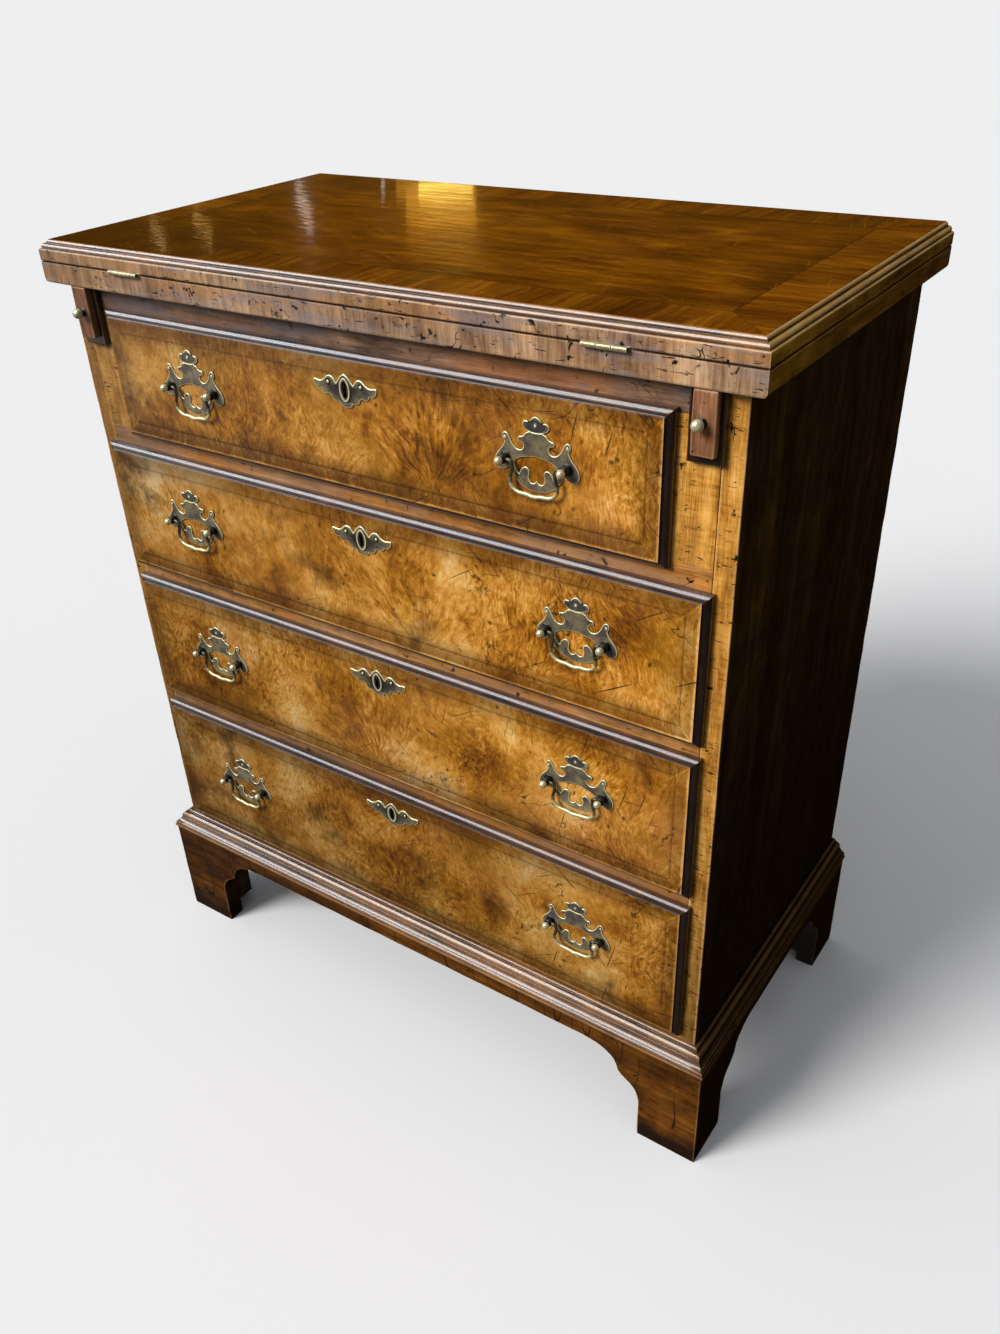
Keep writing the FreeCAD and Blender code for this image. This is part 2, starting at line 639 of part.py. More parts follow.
PLATE_IN = [
    [(0, 1.8), (5.0, 1.2), (10.0, 0.2), (14.6, -1.4), (18.2, -3.6)],
    [(18.2, -3.6), (18.6, -7.4), (17.2, -11.4), (14.4, -14.6),
     (13.0, -15.2)],
    [(13.0, -15.2), (12.2, -11.6), (10.4, -8.6), (8.2, -7.8),
     (7.0, -9.6), (7.6, -12.6), (7.0, -15.8), (4.6, -18.4), (2.6, -18.2),
     (0, -15.8)],
]
KEY_OUT = [
    [(0, 13.2), (3.2, 11.4), (6.2, 8.2), (8.6, 5.4)],
    [(8.6, 5.4), (10.6, 8.2), (13.4, 10.0), (16.0, 10.2), (18.8, 8.8),
     (21.8, 6.4), (25.6, 5.2), (29.2, 5.8), (31.6, 5.6)],
    [(31.6, 5.6), (31.4, 2.2), (29.4, -0.8), (26.4, -2.2), (24.2, -1.8)],
    [(24.2, -1.8), (22.8, -4.2), (19.8, -5.2), (16.8, -4.6),
     (14.8, -5.6)],
    [(14.8, -5.6), (13.2, -8.4), (10.2, -9.8), (6.8, -9.8)],
    [(6.8, -9.8), (6.0, -11.8), (3.4, -13.2), (0, -13.6)],
]


def half_to_wire(runs, y):
    """Mirror a half outline and close it as a wire in the plane y."""
    edges = []
    for flip in (1.0, -1.0):
        for run in runs:
            curve = Part.BSplineCurve()
            curve.interpolate([FreeCAD.Vector(flip * a, y, b)
                               for a, b in run])
            edges.append(curve.toShape())
    return Part.Wire(Part.__sortEdges__(edges))


def form(name, shape):
    item = doc.addObject("Part::Feature", name)
    item.Shape = shape
    return item


thick = V["plate_thick"].value
bore = V["bore_half"].value
bore_drop = V["bore_drop"].value
plate = Part.Face([half_to_wire(PLATE_OUT, 0.0), half_to_wire(PLATE_IN, 0.0)])
if not plate.isValid():
    plate = Part.Face(half_to_wire(PLATE_OUT, 0.0)).cut(
        Part.Face(half_to_wire(PLATE_IN, 0.0)))
plate = plate.extrude(FreeCAD.Vector(0, -thick, 0))
for sign in (-1.0, 1.0):
    plate = plate.cut(Part.makeCylinder(
        2.1, 10, FreeCAD.Vector(sign * bore, -5, -bore_drop),
        FreeCAD.Vector(0, 1, 0)))
plate_form = form("backplate_form", plate)

# post: threaded shank with its nut, flange, head and ball finial
pivot = V["pivot_out"].value - V["lip_out"].value
ball_y = V["post_ball_out"].value - V["lip_out"].value
head = V["post_head"].value
rb = V["post_ball"].value
section = [(0, -26.0), (1.95, -26.0), (1.95, thick), (4.4, thick),
           (4.6, thick + 0.5), (4.2, thick + 1.0), (3.2, thick + 1.4),
           (head, pivot - 2.1), (head, pivot + 2.0),
           (head * 0.8, pivot + 2.5), (2.05, pivot + 2.72)]
for k in range(0, 9):
    turn = math.radians(40 + 140.0 * k / 8.0)
    section.append((max(rb * math.sin(turn), 0.0),
                    ball_y - rb * math.cos(turn)))
section[-1] = (0, ball_y + rb)
lines = [FreeCAD.Vector(a, -b, 0) for a, b in section]
profile_face = Part.Face(Part.makePolygon(lines + [lines[0]]))
post = profile_face.revolve(FreeCAD.Vector(0, 0, 0),
                            FreeCAD.Vector(0, 1, 0), 360)
nut = Part.makeCylinder(4.2, 3.0, FreeCAD.Vector(
    0, V["lip_out"].value + V["front_back"].value, 0),
    FreeCAD.Vector(0, 1, 0)).cut(Part.makeCylinder(
        1.95, 30, FreeCAD.Vector(0, -2, 0), FreeCAD.Vector(0, 1, 0)))
hole = V["bail_hole_rad"].value
right_post = post.cut(Part.makeCylinder(
    hole, 5.0, FreeCAD.Vector(-head - 0.6, -pivot, 0),
    FreeCAD.Vector(1, 0, 0)))
left_post = post.cut(Part.makeCylinder(
    hole, 5.0, FreeCAD.Vector(head + 0.6, -pivot, 0),
    FreeCAD.Vector(-1, 0, 0)))
posts = []
for sign, item in ((1.0, right_post), (-1.0, left_post)):
    for piece in (item, nut):
        copy = piece.copy()
        copy.translate(FreeCAD.Vector(sign * bore, 0, 0))
        posts.append(copy)
post_form = form("post_form", Part.makeCompound(posts))

# bail: a pin at each end in its post, the bow hanging between them
pin_x = bore - head + 2.7
drop = V["bail_drop"].value
path = [(pin_x - 3.0, 0.0), (pin_x - 4.2, 0.0), (pin_x - 5.7, -0.2),
        (18.2, -1.9), (18.0, -5.4), (18.8, -9.6), (20.4, -13.6),
        (19.4, -19.6), (13.0, -23.6), (6.0, 1.6 - drop), (0.0, -drop - 0.7)]
full = path + [(-a, b) for a, b in reversed(path[:-1])]
spine = Part.BSplineCurve()
spine.buildFromPoles([FreeCAD.Vector(a, 0, b) for a, b in full], False, 3)
spine_wire = Part.Wire(spine.toShape())
ring_wire = Part.Wire(Part.Circle(
    FreeCAD.Vector(path[0][0], 0, 0), FreeCAD.Vector(1, 0, 0),
    V["bail_rad"].value).toShape())
bow = spine_wire.makePipeShell([ring_wire], True, False)
pins = [Part.makeCylinder(V["bail_pin_rad"].value, 4.0,
                          FreeCAD.Vector(sign * (pin_x - 3.7), 0, 0),
                          FreeCAD.Vector(sign, 0, 0))
        for sign in (1.0, -1.0)]
bail_form = form("bail_form", bow.fuse(pins))

# escutcheon with a raised rim round the keyhole and two pins
keyhole = Part.makeCylinder(2.3, 8, FreeCAD.Vector(0, 3, 4.4),
                            FreeCAD.Vector(0, -1, 0)).fuse(
    Part.makeBox(2.9, 8, 9.6, FreeCAD.Vector(-1.45, -5, -5.4)))
eplate = Part.Face(half_to_wire(KEY_OUT, 0.0)).extrude(
    FreeCAD.Vector(0, -thick, 0))
rim = Part.Ellipse(FreeCAD.Vector(0, 0, 0), 9.6, 5.6)
rim_face = Part.Face(Part.Wire(rim.toShape()))
rim_face.rotate(FreeCAD.Vector(0, 0, 0), FreeCAD.Vector(0, 0, 1), 90)
rim_face.rotate(FreeCAD.Vector(0, 0, 0), FreeCAD.Vector(1, 0, 0), 90)
rim_face.translate(FreeCAD.Vector(0, 0, 0.6))
rim_solid = rim_face.extrude(FreeCAD.Vector(0, -(thick + 0.8), 0))
eplate = eplate.fuse(rim_solid).cut(keyhole)
pins = []
for sign in (-1.0, 1.0):
    pin = Part.makeCylinder(0.7, 8, FreeCAD.Vector(sign * 16.4, 6, 5.0),
                            FreeCAD.Vector(0, -1, 0))
    head_pin = Part.makeCylinder(1.3, 0.7, FreeCAD.Vector(
        sign * 16.4, -thick, 5.0), FreeCAD.Vector(0, -1, 0))
    pin = pin.fuse(head_pin)
    eplate = eplate.cut(Part.makeCylinder(
        0.7, 8, FreeCAD.Vector(sign * 16.4, 3, 5.0),
        FreeCAD.Vector(0, -1, 0)))
    pins.append(pin)
escutcheon_form = form("escutcheon_form", Part.makeCompound(
    [eplate] + pins))


def placed(name, thing, x, y, z):
    """A copy of a finished form on its drawer."""
    return seat(group(name, [thing]), x, y, z)


# ---------------------------------------------------------------- drawers
def thumb(edge, way):
    """Lip section along one edge: a flat, an ovolo, a fillet, the face."""
    rad = V["thumb_rad"]
    base = V["lip_back"] + V["lip_edge"]
    pts = [(-V["lip_back"], edge), (-base, edge)]
    for k in range(1, 7):
        turn = math.radians(15.0 * k)
        pts.append((-(base + rad * math.sin(turn)),
                    edge + rad * (way * (1.0 - math.cos(turn)))))
    inset = rad + V["thumb_fillet"]
    pts.append((-(base + rad), edge + inset * way))
    pts.append((-V["lip_out"], edge + inset * way))
    return pts


def drawer(number, word, half, pull_x):
    low, high = V[word + "_low"], V[word + "_high"]
    tag = "drawer_%d" % number
    pull_z, key_z = V[word + "_pull_z"], V[word + "_key_z"]
    bore_z = pull_z - V["bore_drop"]
    lip_lo, lip_hi = low - V["lip_over"], high + V["lip_over"]
    lip_half = half + V["lip_side"]
    rise = thumb(lip_lo, 1.0) + thumb(lip_hi, -1.0)[::-1]
    long_lip = slab(tag + "_lip_long", "YZ_Plane", rise, lip_half * 2.0,
                    -lip_half, 0, 0)
    left = thumb(-lip_half, 1.0)
    right = thumb(lip_half, -1.0)
    plan = [(b, a) for a, b in left] + [(b, a) for a, b in right[::-1]]
    cross_lip = slab(tag + "_lip_cross", "XY_Plane", plan,
                     lip_hi - lip_lo, 0, 0, lip_lo)
    lip = common(tag + "_lip", long_lip, cross_lip)
    box_half = half - V["side_play"]
    z0, z1 = low + V["low_play"], high - V["top_play"]
    core = box(tag + "_core", -box_half, box_half, -V["lip_back"],
               V["front_back"], z0, z1)
    tools = []
    for i, (a, b) in enumerate(((-1, -1), (-1, 1), (1, -1), (1, 1))):
        tools.append(rod("%s_post_hole%d" % (tag, i), 2.0, 40,
                         a * pull_x + b * V["bore_half"],
                         -V["lip_out"] - 2.0, bore_z, "Y"))
    for i, sx in enumerate((-16.4, 16.4)):
        tools.append(rod("%s_pin_hole%d" % (tag, i), 0.75, 8.5, sx,
                         -V["lip_out"] - 2.0, key_z + 5.0, "Y"))
    tools.append(box(tag + "_keyway", -1.45, 1.45, -V["lip_out"] - 2.0,
                     V["front_back"] + 2.0, key_z - 5.4, key_z + 4.4))
    tools.append(rod(tag + "_key_round", 2.3, 40, 0, -V["lip_out"] - 2.0,
                     key_z + 4.4, "Y"))
    lock_lo = key_z - 15.0
    tools.append(box(tag + "_lock_bed", -23, 23, V["front_back"] - 8.0,
                     V["front_back"] + 2.0, lock_lo, z1 + 2.0))
    keep(tag + "_front", cut(tag + "_front",
                             fuse(tag + "_blank", [lip, core]), tools))
    # oak lining: two sides and a back
    side_top = z1 - 3.0
    lining = pair(tag + "_side", box_half - V["lining"], box_half,
                  V["front_back"], V["drawer_back_y"], z0, side_top)
    floor_z = z0 + V["bottom_up"]
    lining.append(box(tag + "_back", -(box_half - V["lining"]),
                      box_half - V["lining"],
                      V["drawer_back_y"] - V["lining"], V["drawer_back_y"],
                      floor_z + V["drawer_floor"], side_top - 6.0))
    keep(tag + "_sides_and_back", group(tag + "_lining", lining))
    keep(tag + "_bottom", box(
        tag + "_bottom", -(box_half - V["lining"]),
        box_half - V["lining"], V["front_back"], V["drawer_back_y"],
        floor_z, floor_z + V["drawer_floor"]))
    face_y = -V["lip_out"]
    keep(tag + "_backplates", group(tag + "_backplates", [
        placed(tag + "_plate_l", plate_form, -pull_x, face_y, pull_z),
        placed(tag + "_plate_r", plate_form, pull_x, face_y, pull_z)]))
    keep(tag + "_posts", group(tag + "_posts", [
        placed(tag + "_post_l", post_form, -pull_x, face_y, bore_z),
        placed(tag + "_post_r", post_form, pull_x, face_y, bore_z)]))
    for side, sign in (("left", -1.0), ("right", 1.0)):
        keep("%s_bail_%s" % (tag, side), placed(
            "%s_bail_%s" % (tag, side), bail_form, sign * pull_x,
            -V["pivot_out"], bore_z))
    keep(tag + "_escutcheon", placed(tag + "_escutcheon", escutcheon_form,
                                     0, face_y, key_z))
    # box lock let into the back of the front, its bolt drawn in
    case = box(tag + "_lock_case", -22.9, 22.9, V["front_back"] - 7.9,
               V["front_back"] + 1.2, lock_lo + 0.1, z1)
    gate = rod(tag + "_lock_gate", 2.0, 8, 0, V["front_back"] - 9.0,
               key_z + 4.4, "Y")
    pin = rod(tag + "_lock_pin", 0.9, 7.5, 0, V["front_back"] - 8.5,
              key_z + 4.4, "Y")
    keep(tag + "_lock", group(tag + "_lock", [
        cut(tag + "_lock_body", case, [gate]), pin]))


drawer(1, "one", V["one_half"], V["pull_x_one"])
drawer(2, "two", inner, V["pull_x"])
drawer(3, "three", inner, V["pull_x"])
drawer(4, "four", inner, V["pull_x"])

doc.recompute()

bad = [o.Name for o in doc.Objects
       if "Invalid" in o.State or "Error" in o.State]
if bad:
    raise RuntimeError("objects that do not compute: %s" % bad)
for item in subparts:
    if item.Shape.isNull() or not item.Shape.isValid():
        raise RuntimeError("no sound shape in " + item.Label)

os.makedirs("parts", exist_ok=True)
for item in subparts:
    item.Shape.exportStep("parts/%s.step" % item.Label)
print("sub-parts written:", len(subparts))
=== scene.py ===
import math
import bpy
import bmesh
import numpy as np
from mathutils import Vector, Matrix, Quaternion, noise
from mathutils.geometry import tessellate_polygon


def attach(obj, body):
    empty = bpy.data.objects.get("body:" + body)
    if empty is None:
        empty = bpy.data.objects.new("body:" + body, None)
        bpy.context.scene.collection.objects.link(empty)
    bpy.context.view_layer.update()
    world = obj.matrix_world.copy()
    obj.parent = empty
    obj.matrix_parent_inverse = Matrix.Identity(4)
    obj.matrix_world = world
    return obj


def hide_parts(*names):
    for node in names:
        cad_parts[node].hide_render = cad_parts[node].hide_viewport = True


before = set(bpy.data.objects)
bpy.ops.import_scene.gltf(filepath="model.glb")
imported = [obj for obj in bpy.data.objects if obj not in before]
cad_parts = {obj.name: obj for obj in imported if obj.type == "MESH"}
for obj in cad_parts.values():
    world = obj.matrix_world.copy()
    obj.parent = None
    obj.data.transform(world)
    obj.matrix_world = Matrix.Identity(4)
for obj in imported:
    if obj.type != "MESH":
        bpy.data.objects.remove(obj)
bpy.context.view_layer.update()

# Lengths below are millimetres, y counted back from the front of the case.
FRONT = -163.5


def at(x, y, z):
    return (x * 0.001, (y + FRONT) * 0.001, z * 0.001)


def lin(r, g, b):
    """A screen colour as the shader wants it."""
    out = []
    for c in (r, g, b):
        c /= 255.0
        out.append(c / 12.92 if c <= 0.04045 else ((c + 0.055) / 1.055) ** 2.4)
    return (out[0], out[1], out[2], 1.0)


# ---------------------------------------------------------------- shaders
class Mat:
    """A short way to write a node tree."""

    def __init__(s, name, **fixed):
        s.m = bpy.data.materials.new(name)
        s.m.use_nodes = True
        s.t = s.m.node_tree
        s.t.nodes.clear()
        s.out = s.t.nodes.new("ShaderNodeOutputMaterial")
        s.b = s.t.nodes.new("ShaderNodeBsdfPrincipled")
        s.t.links.new(s.b.outputs[0], s.out.inputs[0])
        s.co = s.n("ShaderNodeTexCoord").outputs["Object"]
        s.parts = None
        for key, value in fixed.items():
            s.b.inputs[key.replace("_", " ")].default_value = value

    def n(s, kind, **props):
        node = s.t.nodes.new(kind)
        for key, value in props.items():
            setattr(node, key, value)
        return node

    def put(s, sock, value):
        if isinstance(value, bpy.types.NodeSocket):
            s.t.links.new(value, sock)
        else:
            sock.default_value = value

    def set(s, key, value):
        s.put(s.b.inputs[key], value)

    def ma(s, op, a, b=0.0, c=0.0, clamp=False):
        node = s.n("ShaderNodeMath", operation=op, use_clamp=clamp)
        for i, value in enumerate((a, b, c)):
            s.put(node.inputs[i], value)
        return node.outputs[0]

    def ve(s, op, a, b=(0, 0, 0), c=(0, 0, 0)):
        node = s.n("ShaderNodeVectorMath", operation=op)
        for i, value in enumerate((a, b, c)):
            s.put(node.inputs[i], value)
        return node.outputs[0]

    def xyz(s, v=None):
        if v is None:
            if s.parts is None:
                s.parts = s.n("ShaderNodeSeparateXYZ")
                s.put(s.parts.inputs[0], s.co)
            return s.parts.outputs
        node = s.n("ShaderNodeSeparateXYZ")
        s.put(node.inputs[0], v)
        return node.outputs

    def vec(s, x, y, z):
        node = s.n("ShaderNodeCombineXYZ")
        for i, value in enumerate((x, y, z)):
            s.put(node.inputs[i], value)
        return node.outputs[0]

    def turn(s, v, axis, degrees):
        node = s.n("ShaderNodeVectorRotate", rotation_type=axis + "_AXIS")
        s.put(node.inputs["Vector"], v)
        node.inputs["Angle"].default_value = math.radians(degrees)
        return node.outputs[0]

    def noise(s, v, scale, detail=2.0, rough=0.5, dist=0.0, color=False):
        node = s.n("ShaderNodeTexNoise")
        s.put(node.inputs["Vector"], v)
        node.inputs["Scale"].default_value = scale
        node.inputs["Detail"].default_value = detail
        node.inputs["Roughness"].default_value = rough
        node.inputs["Distortion"].default_value = dist
        return node.outputs["Color" if color else "Fac"]

    def cells(s, v, scale, what="Distance", feature="F1"):
        node = s.n("ShaderNodeTexVoronoi", feature=feature)
        s.put(node.inputs["Vector"], v)
        node.inputs["Scale"].default_value = scale
        return node.outputs[what]

    def ramp(s, fac, stops, ease=False):
        node = s.n("ShaderNodeValToRGB")
        line = node.color_ramp
        if ease:
            line.interpolation = "EASE"
        while len(line.elements) < len(stops):
            line.elements.new(0.5)
        for i, (pos, col) in enumerate(stops):
            line.elements[i].position = pos
            if not isinstance(col, tuple):
                col = (col, col, col, 1.0)
            elif len(col) == 3:
                col = lin(*col)
            line.elements[i].color = col
        s.put(node.inputs[0], fac)
        return node.outputs[0]

    def mix(s, fac, a, b, way="MIX"):
        node = s.n("ShaderNodeMix", data_type="RGBA", blend_type=way)
        s.put(node.inputs[0], fac)
        for i, value in ((6, a), (7, b)):
            if isinstance(value, tuple) and len(value) == 3:
                value = lin(*value)
            s.put(node.inputs[i], value)
        return node.outputs[2]

    def span(s, v, a, b, c=0.0, d=1.0, smooth=False):
        node = s.n("ShaderNodeMapRange")
        node.interpolation_type = "SMOOTHSTEP" if smooth else "LINEAR"
        for i, value in enumerate((v, a, b, c, d)):
            s.put(node.inputs[i], value)
        return node.outputs[0]

    def edge(s):
        return s.n("ShaderNodeAttribute", attribute_name="edge").outputs["Fac"]

    def wobble(s, v, scale, amount, detail=2.0):
        """Shift a position by soft noise."""
        w = s.noise(v, scale, detail, color=True)
        return s.ve("MULTIPLY_ADD", w, (amount,) * 3,
                    s.ve("ADD", v, (-amount / 2,) * 3))

    def bump(s, height, depth, strength=1.0, after=None):
        node = s.n("ShaderNodeBump")
        node.inputs["Strength"].default_value = strength
        node.inputs["Distance"].default_value = depth
        s.put(node.inputs["Height"], height)
        if after is not None:
            s.put(node.inputs["Normal"], after)
        return node.outputs[0]


STRETCH = {"X": (1, 0, 0), "Y": (0, 1, 0), "Z": (0, 0, 1)}


def along(g, v, axis, long, cross):
    """Scale a position so that noise runs out along one axis."""
    return g.ve("MULTIPLY", v, tuple(long if k else cross
                                     for k in STRETCH[axis]))


def scratches(g, plane, amount=1.0):
    """Fine straight scratches at a few angles."""
    lines = None
    for k, angle in enumerate((31, -42, 74, 8)):
        v = g.turn(g.ve("ADD", g.co, (0.31 * k, 0.17 * k, 0.23 * k)), plane,
                   angle)
        v = g.wobble(v, 30, 0.0024)
        v = along(g, v, "X", 16, 520)
        n = g.noise(v, 1.0, 1.0, 0.4)
        n = g.span(n, 0.735, 0.775)
        lines = n if lines is None else g.ma("MAXIMUM", lines, n)
    return g.ma("MULTIPLY", lines, amount)


def painted_light_falloff(g, color, left=0.62, low=0.55, high=0.44):
    """Painted light falloff: browner and darker to the left, and darker
    towards the floor.
    """
    x, y, z = g.xyz()
    f = g.ma("MULTIPLY", g.span(x, -0.34, 0.30, left, 1.0),
             g.span(z, 0.10, high, low, 1.0, True))
    return g.mix(1.0, color, g.vec(f, f, f), "MULTIPLY")


def cracks(g, scale=9.0, width=0.006, seed=0.0, keep=0.56):
    v = g.ve("ADD", g.co, (seed, seed * 0.7, seed * 1.3))
    n = g.noise(v, scale, 4.0, 0.62, 0.5)
    line = g.span(g.ma("ABSOLUTE", g.ma("SUBTRACT", n, 0.5)), width, 0.0)
    gate = g.span(g.noise(v, scale * 2.3, 1.0), keep, keep + 0.07)
    return g.ma("MULTIPLY", line, gate)


def burr(name, fan, seed):
    """Figured veneer in polish. fan is the foot of a spray of figure."""
    g = Mat(name, IOR=1.5, Coat_Roughness=0.16, Coat_Weight=0.07,
            Specular_IOR_Level=0.32)
    x, y, z = g.xyz()
    base = g.ve("ADD", g.co, (seed, 0.0, seed * 0.37))
    p = g.wobble(g.wobble(base, 8, 0.050, 2.0), 44, 0.013, 3.0)
    strokes = []
    for angle, across, length in ((6, 430, 120), (-32, 390, 125),
                                  (41, 450, 135)):
        v = g.turn(p, "Y", angle)
        v = g.ve("MULTIPLY", v, (across, across, length))
        strokes.append(g.noise(v, 1.0, 3.0, 0.6))
    patch = g.noise(base, 12, 2.0, 0.5, 0.6)
    s = g.mix(g.span(patch, 0.50, 0.60), strokes[0], strokes[1])
    s = g.mix(g.span(g.noise(base, 16, 2.0), 0.58, 0.68), s, strokes[2])
    # a spray of figure opening upwards from its foot
    fx, fz = fan
    wx, wy, wz = g.xyz(g.wobble(g.wobble(g.co, 15, 0.035), 60, 0.006))
    dx, dz = g.ma("SUBTRACT", wx, fx), g.ma("SUBTRACT", wz, fz)
    angle = g.ma("ARCTAN2", dx, dz)
    reach = g.ma("SQRT", g.ma("ADD", g.ma("MULTIPLY", dx, dx),
                              g.ma("MULTIPLY", dz, dz)))
    spray = g.noise(g.vec(g.ma("MULTIPLY", angle, 13.0),
                          g.ma("MULTIPLY", reach, 70.0), seed), 1.0, 4.0,
                    0.62)
    inside = g.ma("MULTIPLY", g.span(reach, 0.125, 0.04, smooth=True),
                  g.span(g.ma("ABSOLUTE", angle), 1.5, 0.8, smooth=True))
    s = g.mix(g.ma("MULTIPLY", inside, 0.62), s, spray)
    fine = g.noise(g.ve("MULTIPLY", g.turn(p, "Y", 10), (1600, 1600, 330)),
                   1.0, 2.0)
    mottle = g.noise(p, 150, 3.0, 0.6)
    clouds = g.noise(g.wobble(base, 11, 0.06, 3.0), 13, 4.0, 0.6)
    broad = g.noise(base, 5.0, 2.0)
    calm = g.span(g.noise(g.ve("ADD", base, (3.3, 0, 1.9)), 10, 2.0), 0.36,
                  0.64, 0.34, 1.15)
    value = g.ma("ADD", 0.5, g.ma("MULTIPLY", g.ma("SUBTRACT", s, 0.5),
                                  calm))
    value = g.ma("ADD", value, g.ma("MULTIPLY_ADD", clouds, 1.40, -0.70))
    value = g.ma("ADD", value, g.ma("MULTIPLY", inside, g.ma(
        "MULTIPLY_ADD", spray, 0.60, -0.33)))
    value = g.ma("ADD", value, g.ma("MULTIPLY_ADD", fine, 0.28, -0.14))
    value = g.ma("ADD", value, g.ma("MULTIPLY_ADD", mottle, 0.40, -0.20))
    value = g.ma("ADD", value, g.ma("MULTIPLY_ADD", broad, 0.6, -0.30))
    color = g.ramp(value, [(0.06, (86, 46, 4)), (0.27, (142, 85, 12)),
                           (0.44, (184, 121, 34)), (0.58, (215, 152, 64)),
                           (0.74, (236, 184, 104)), (0.93, (250, 212, 150))])
    # olive and rosy clouds, and small darker ones
    haze = g.span(g.noise(g.ve("ADD", base, (0.4, 0, 0.9)), 8.5, 3.0), 0.52,
                  0.72)
    color = g.mix(g.ma("MULTIPLY", haze, 0.30), color, (176, 118, 70))
    olive = g.span(g.noise(g.ve("ADD", base, (1.4, 0, 0.2)), 14, 3.0), 0.55,
                   0.72)
    color = g.mix(g.ma("MULTIPLY", olive, 0.45), color, (136, 98, 18))
    dark = g.span(g.noise(g.wobble(g.ve("ADD", base, (2.2, 0, 0)), 14, 0.04),
                          15, 4.0, 0.65), 0.445, 0.30)
    color = g.mix(g.ma("MULTIPLY", dark, 0.80), color, (78, 42, 5))
    # small eyes and specks
    far = g.cells(p, 92)
    pick = g.span(g.noise(base, 60, 0.0), 0.60, 0.66)
    eye = g.ma("MULTIPLY", g.span(far, 0.24, 0.08), pick)
    color = g.mix(g.ma("MULTIPLY", eye, 0.8), color, (56, 28, 6))
    # dirt and painted shade near the border of the field, a rubbed arris
    rim = g.edge()
    color = g.mix(g.span(rim, 0.0, -1.0, 0.0, 0.9), color, (58, 28, 8))
    color = g.mix(g.span(rim, 0.2, 1.0, 0.0, 0.75), color, (232, 186, 124))
    marks = g.ma("MAXIMUM", scratches(g, "Y", 0.9),
                 cracks(g, 10.0, 0.0065, seed, 0.52))
    right = g.span(x, -0.12, 0.20, 0.30, 1.0)
    marks = g.ma("MULTIPLY", marks, right)
    # painted light falloff: darker to the left and towards the floor
    color = painted_light_falloff(g, color, 0.52, 0.53, 0.52)
    color = g.mix(marks, color, (40, 20, 6))
    g.set("Base Color", color)
    rough = g.span(g.noise(base, 24, 3.0), 0.3, 0.7, 0.30, 0.44)
    g.set("Roughness", rough)
    waves = g.noise(base, 38, 2.0)
    nrm = g.bump(waves, 0.0009, 0.35)
    height = g.ma("SUBTRACT", g.ma("MULTIPLY", fine, 0.14),
                  g.ma("MULTIPLY", marks, 1.0))
    g.set("Normal", g.bump(height, 0.00016, 0.8, nrm))
    return g.m


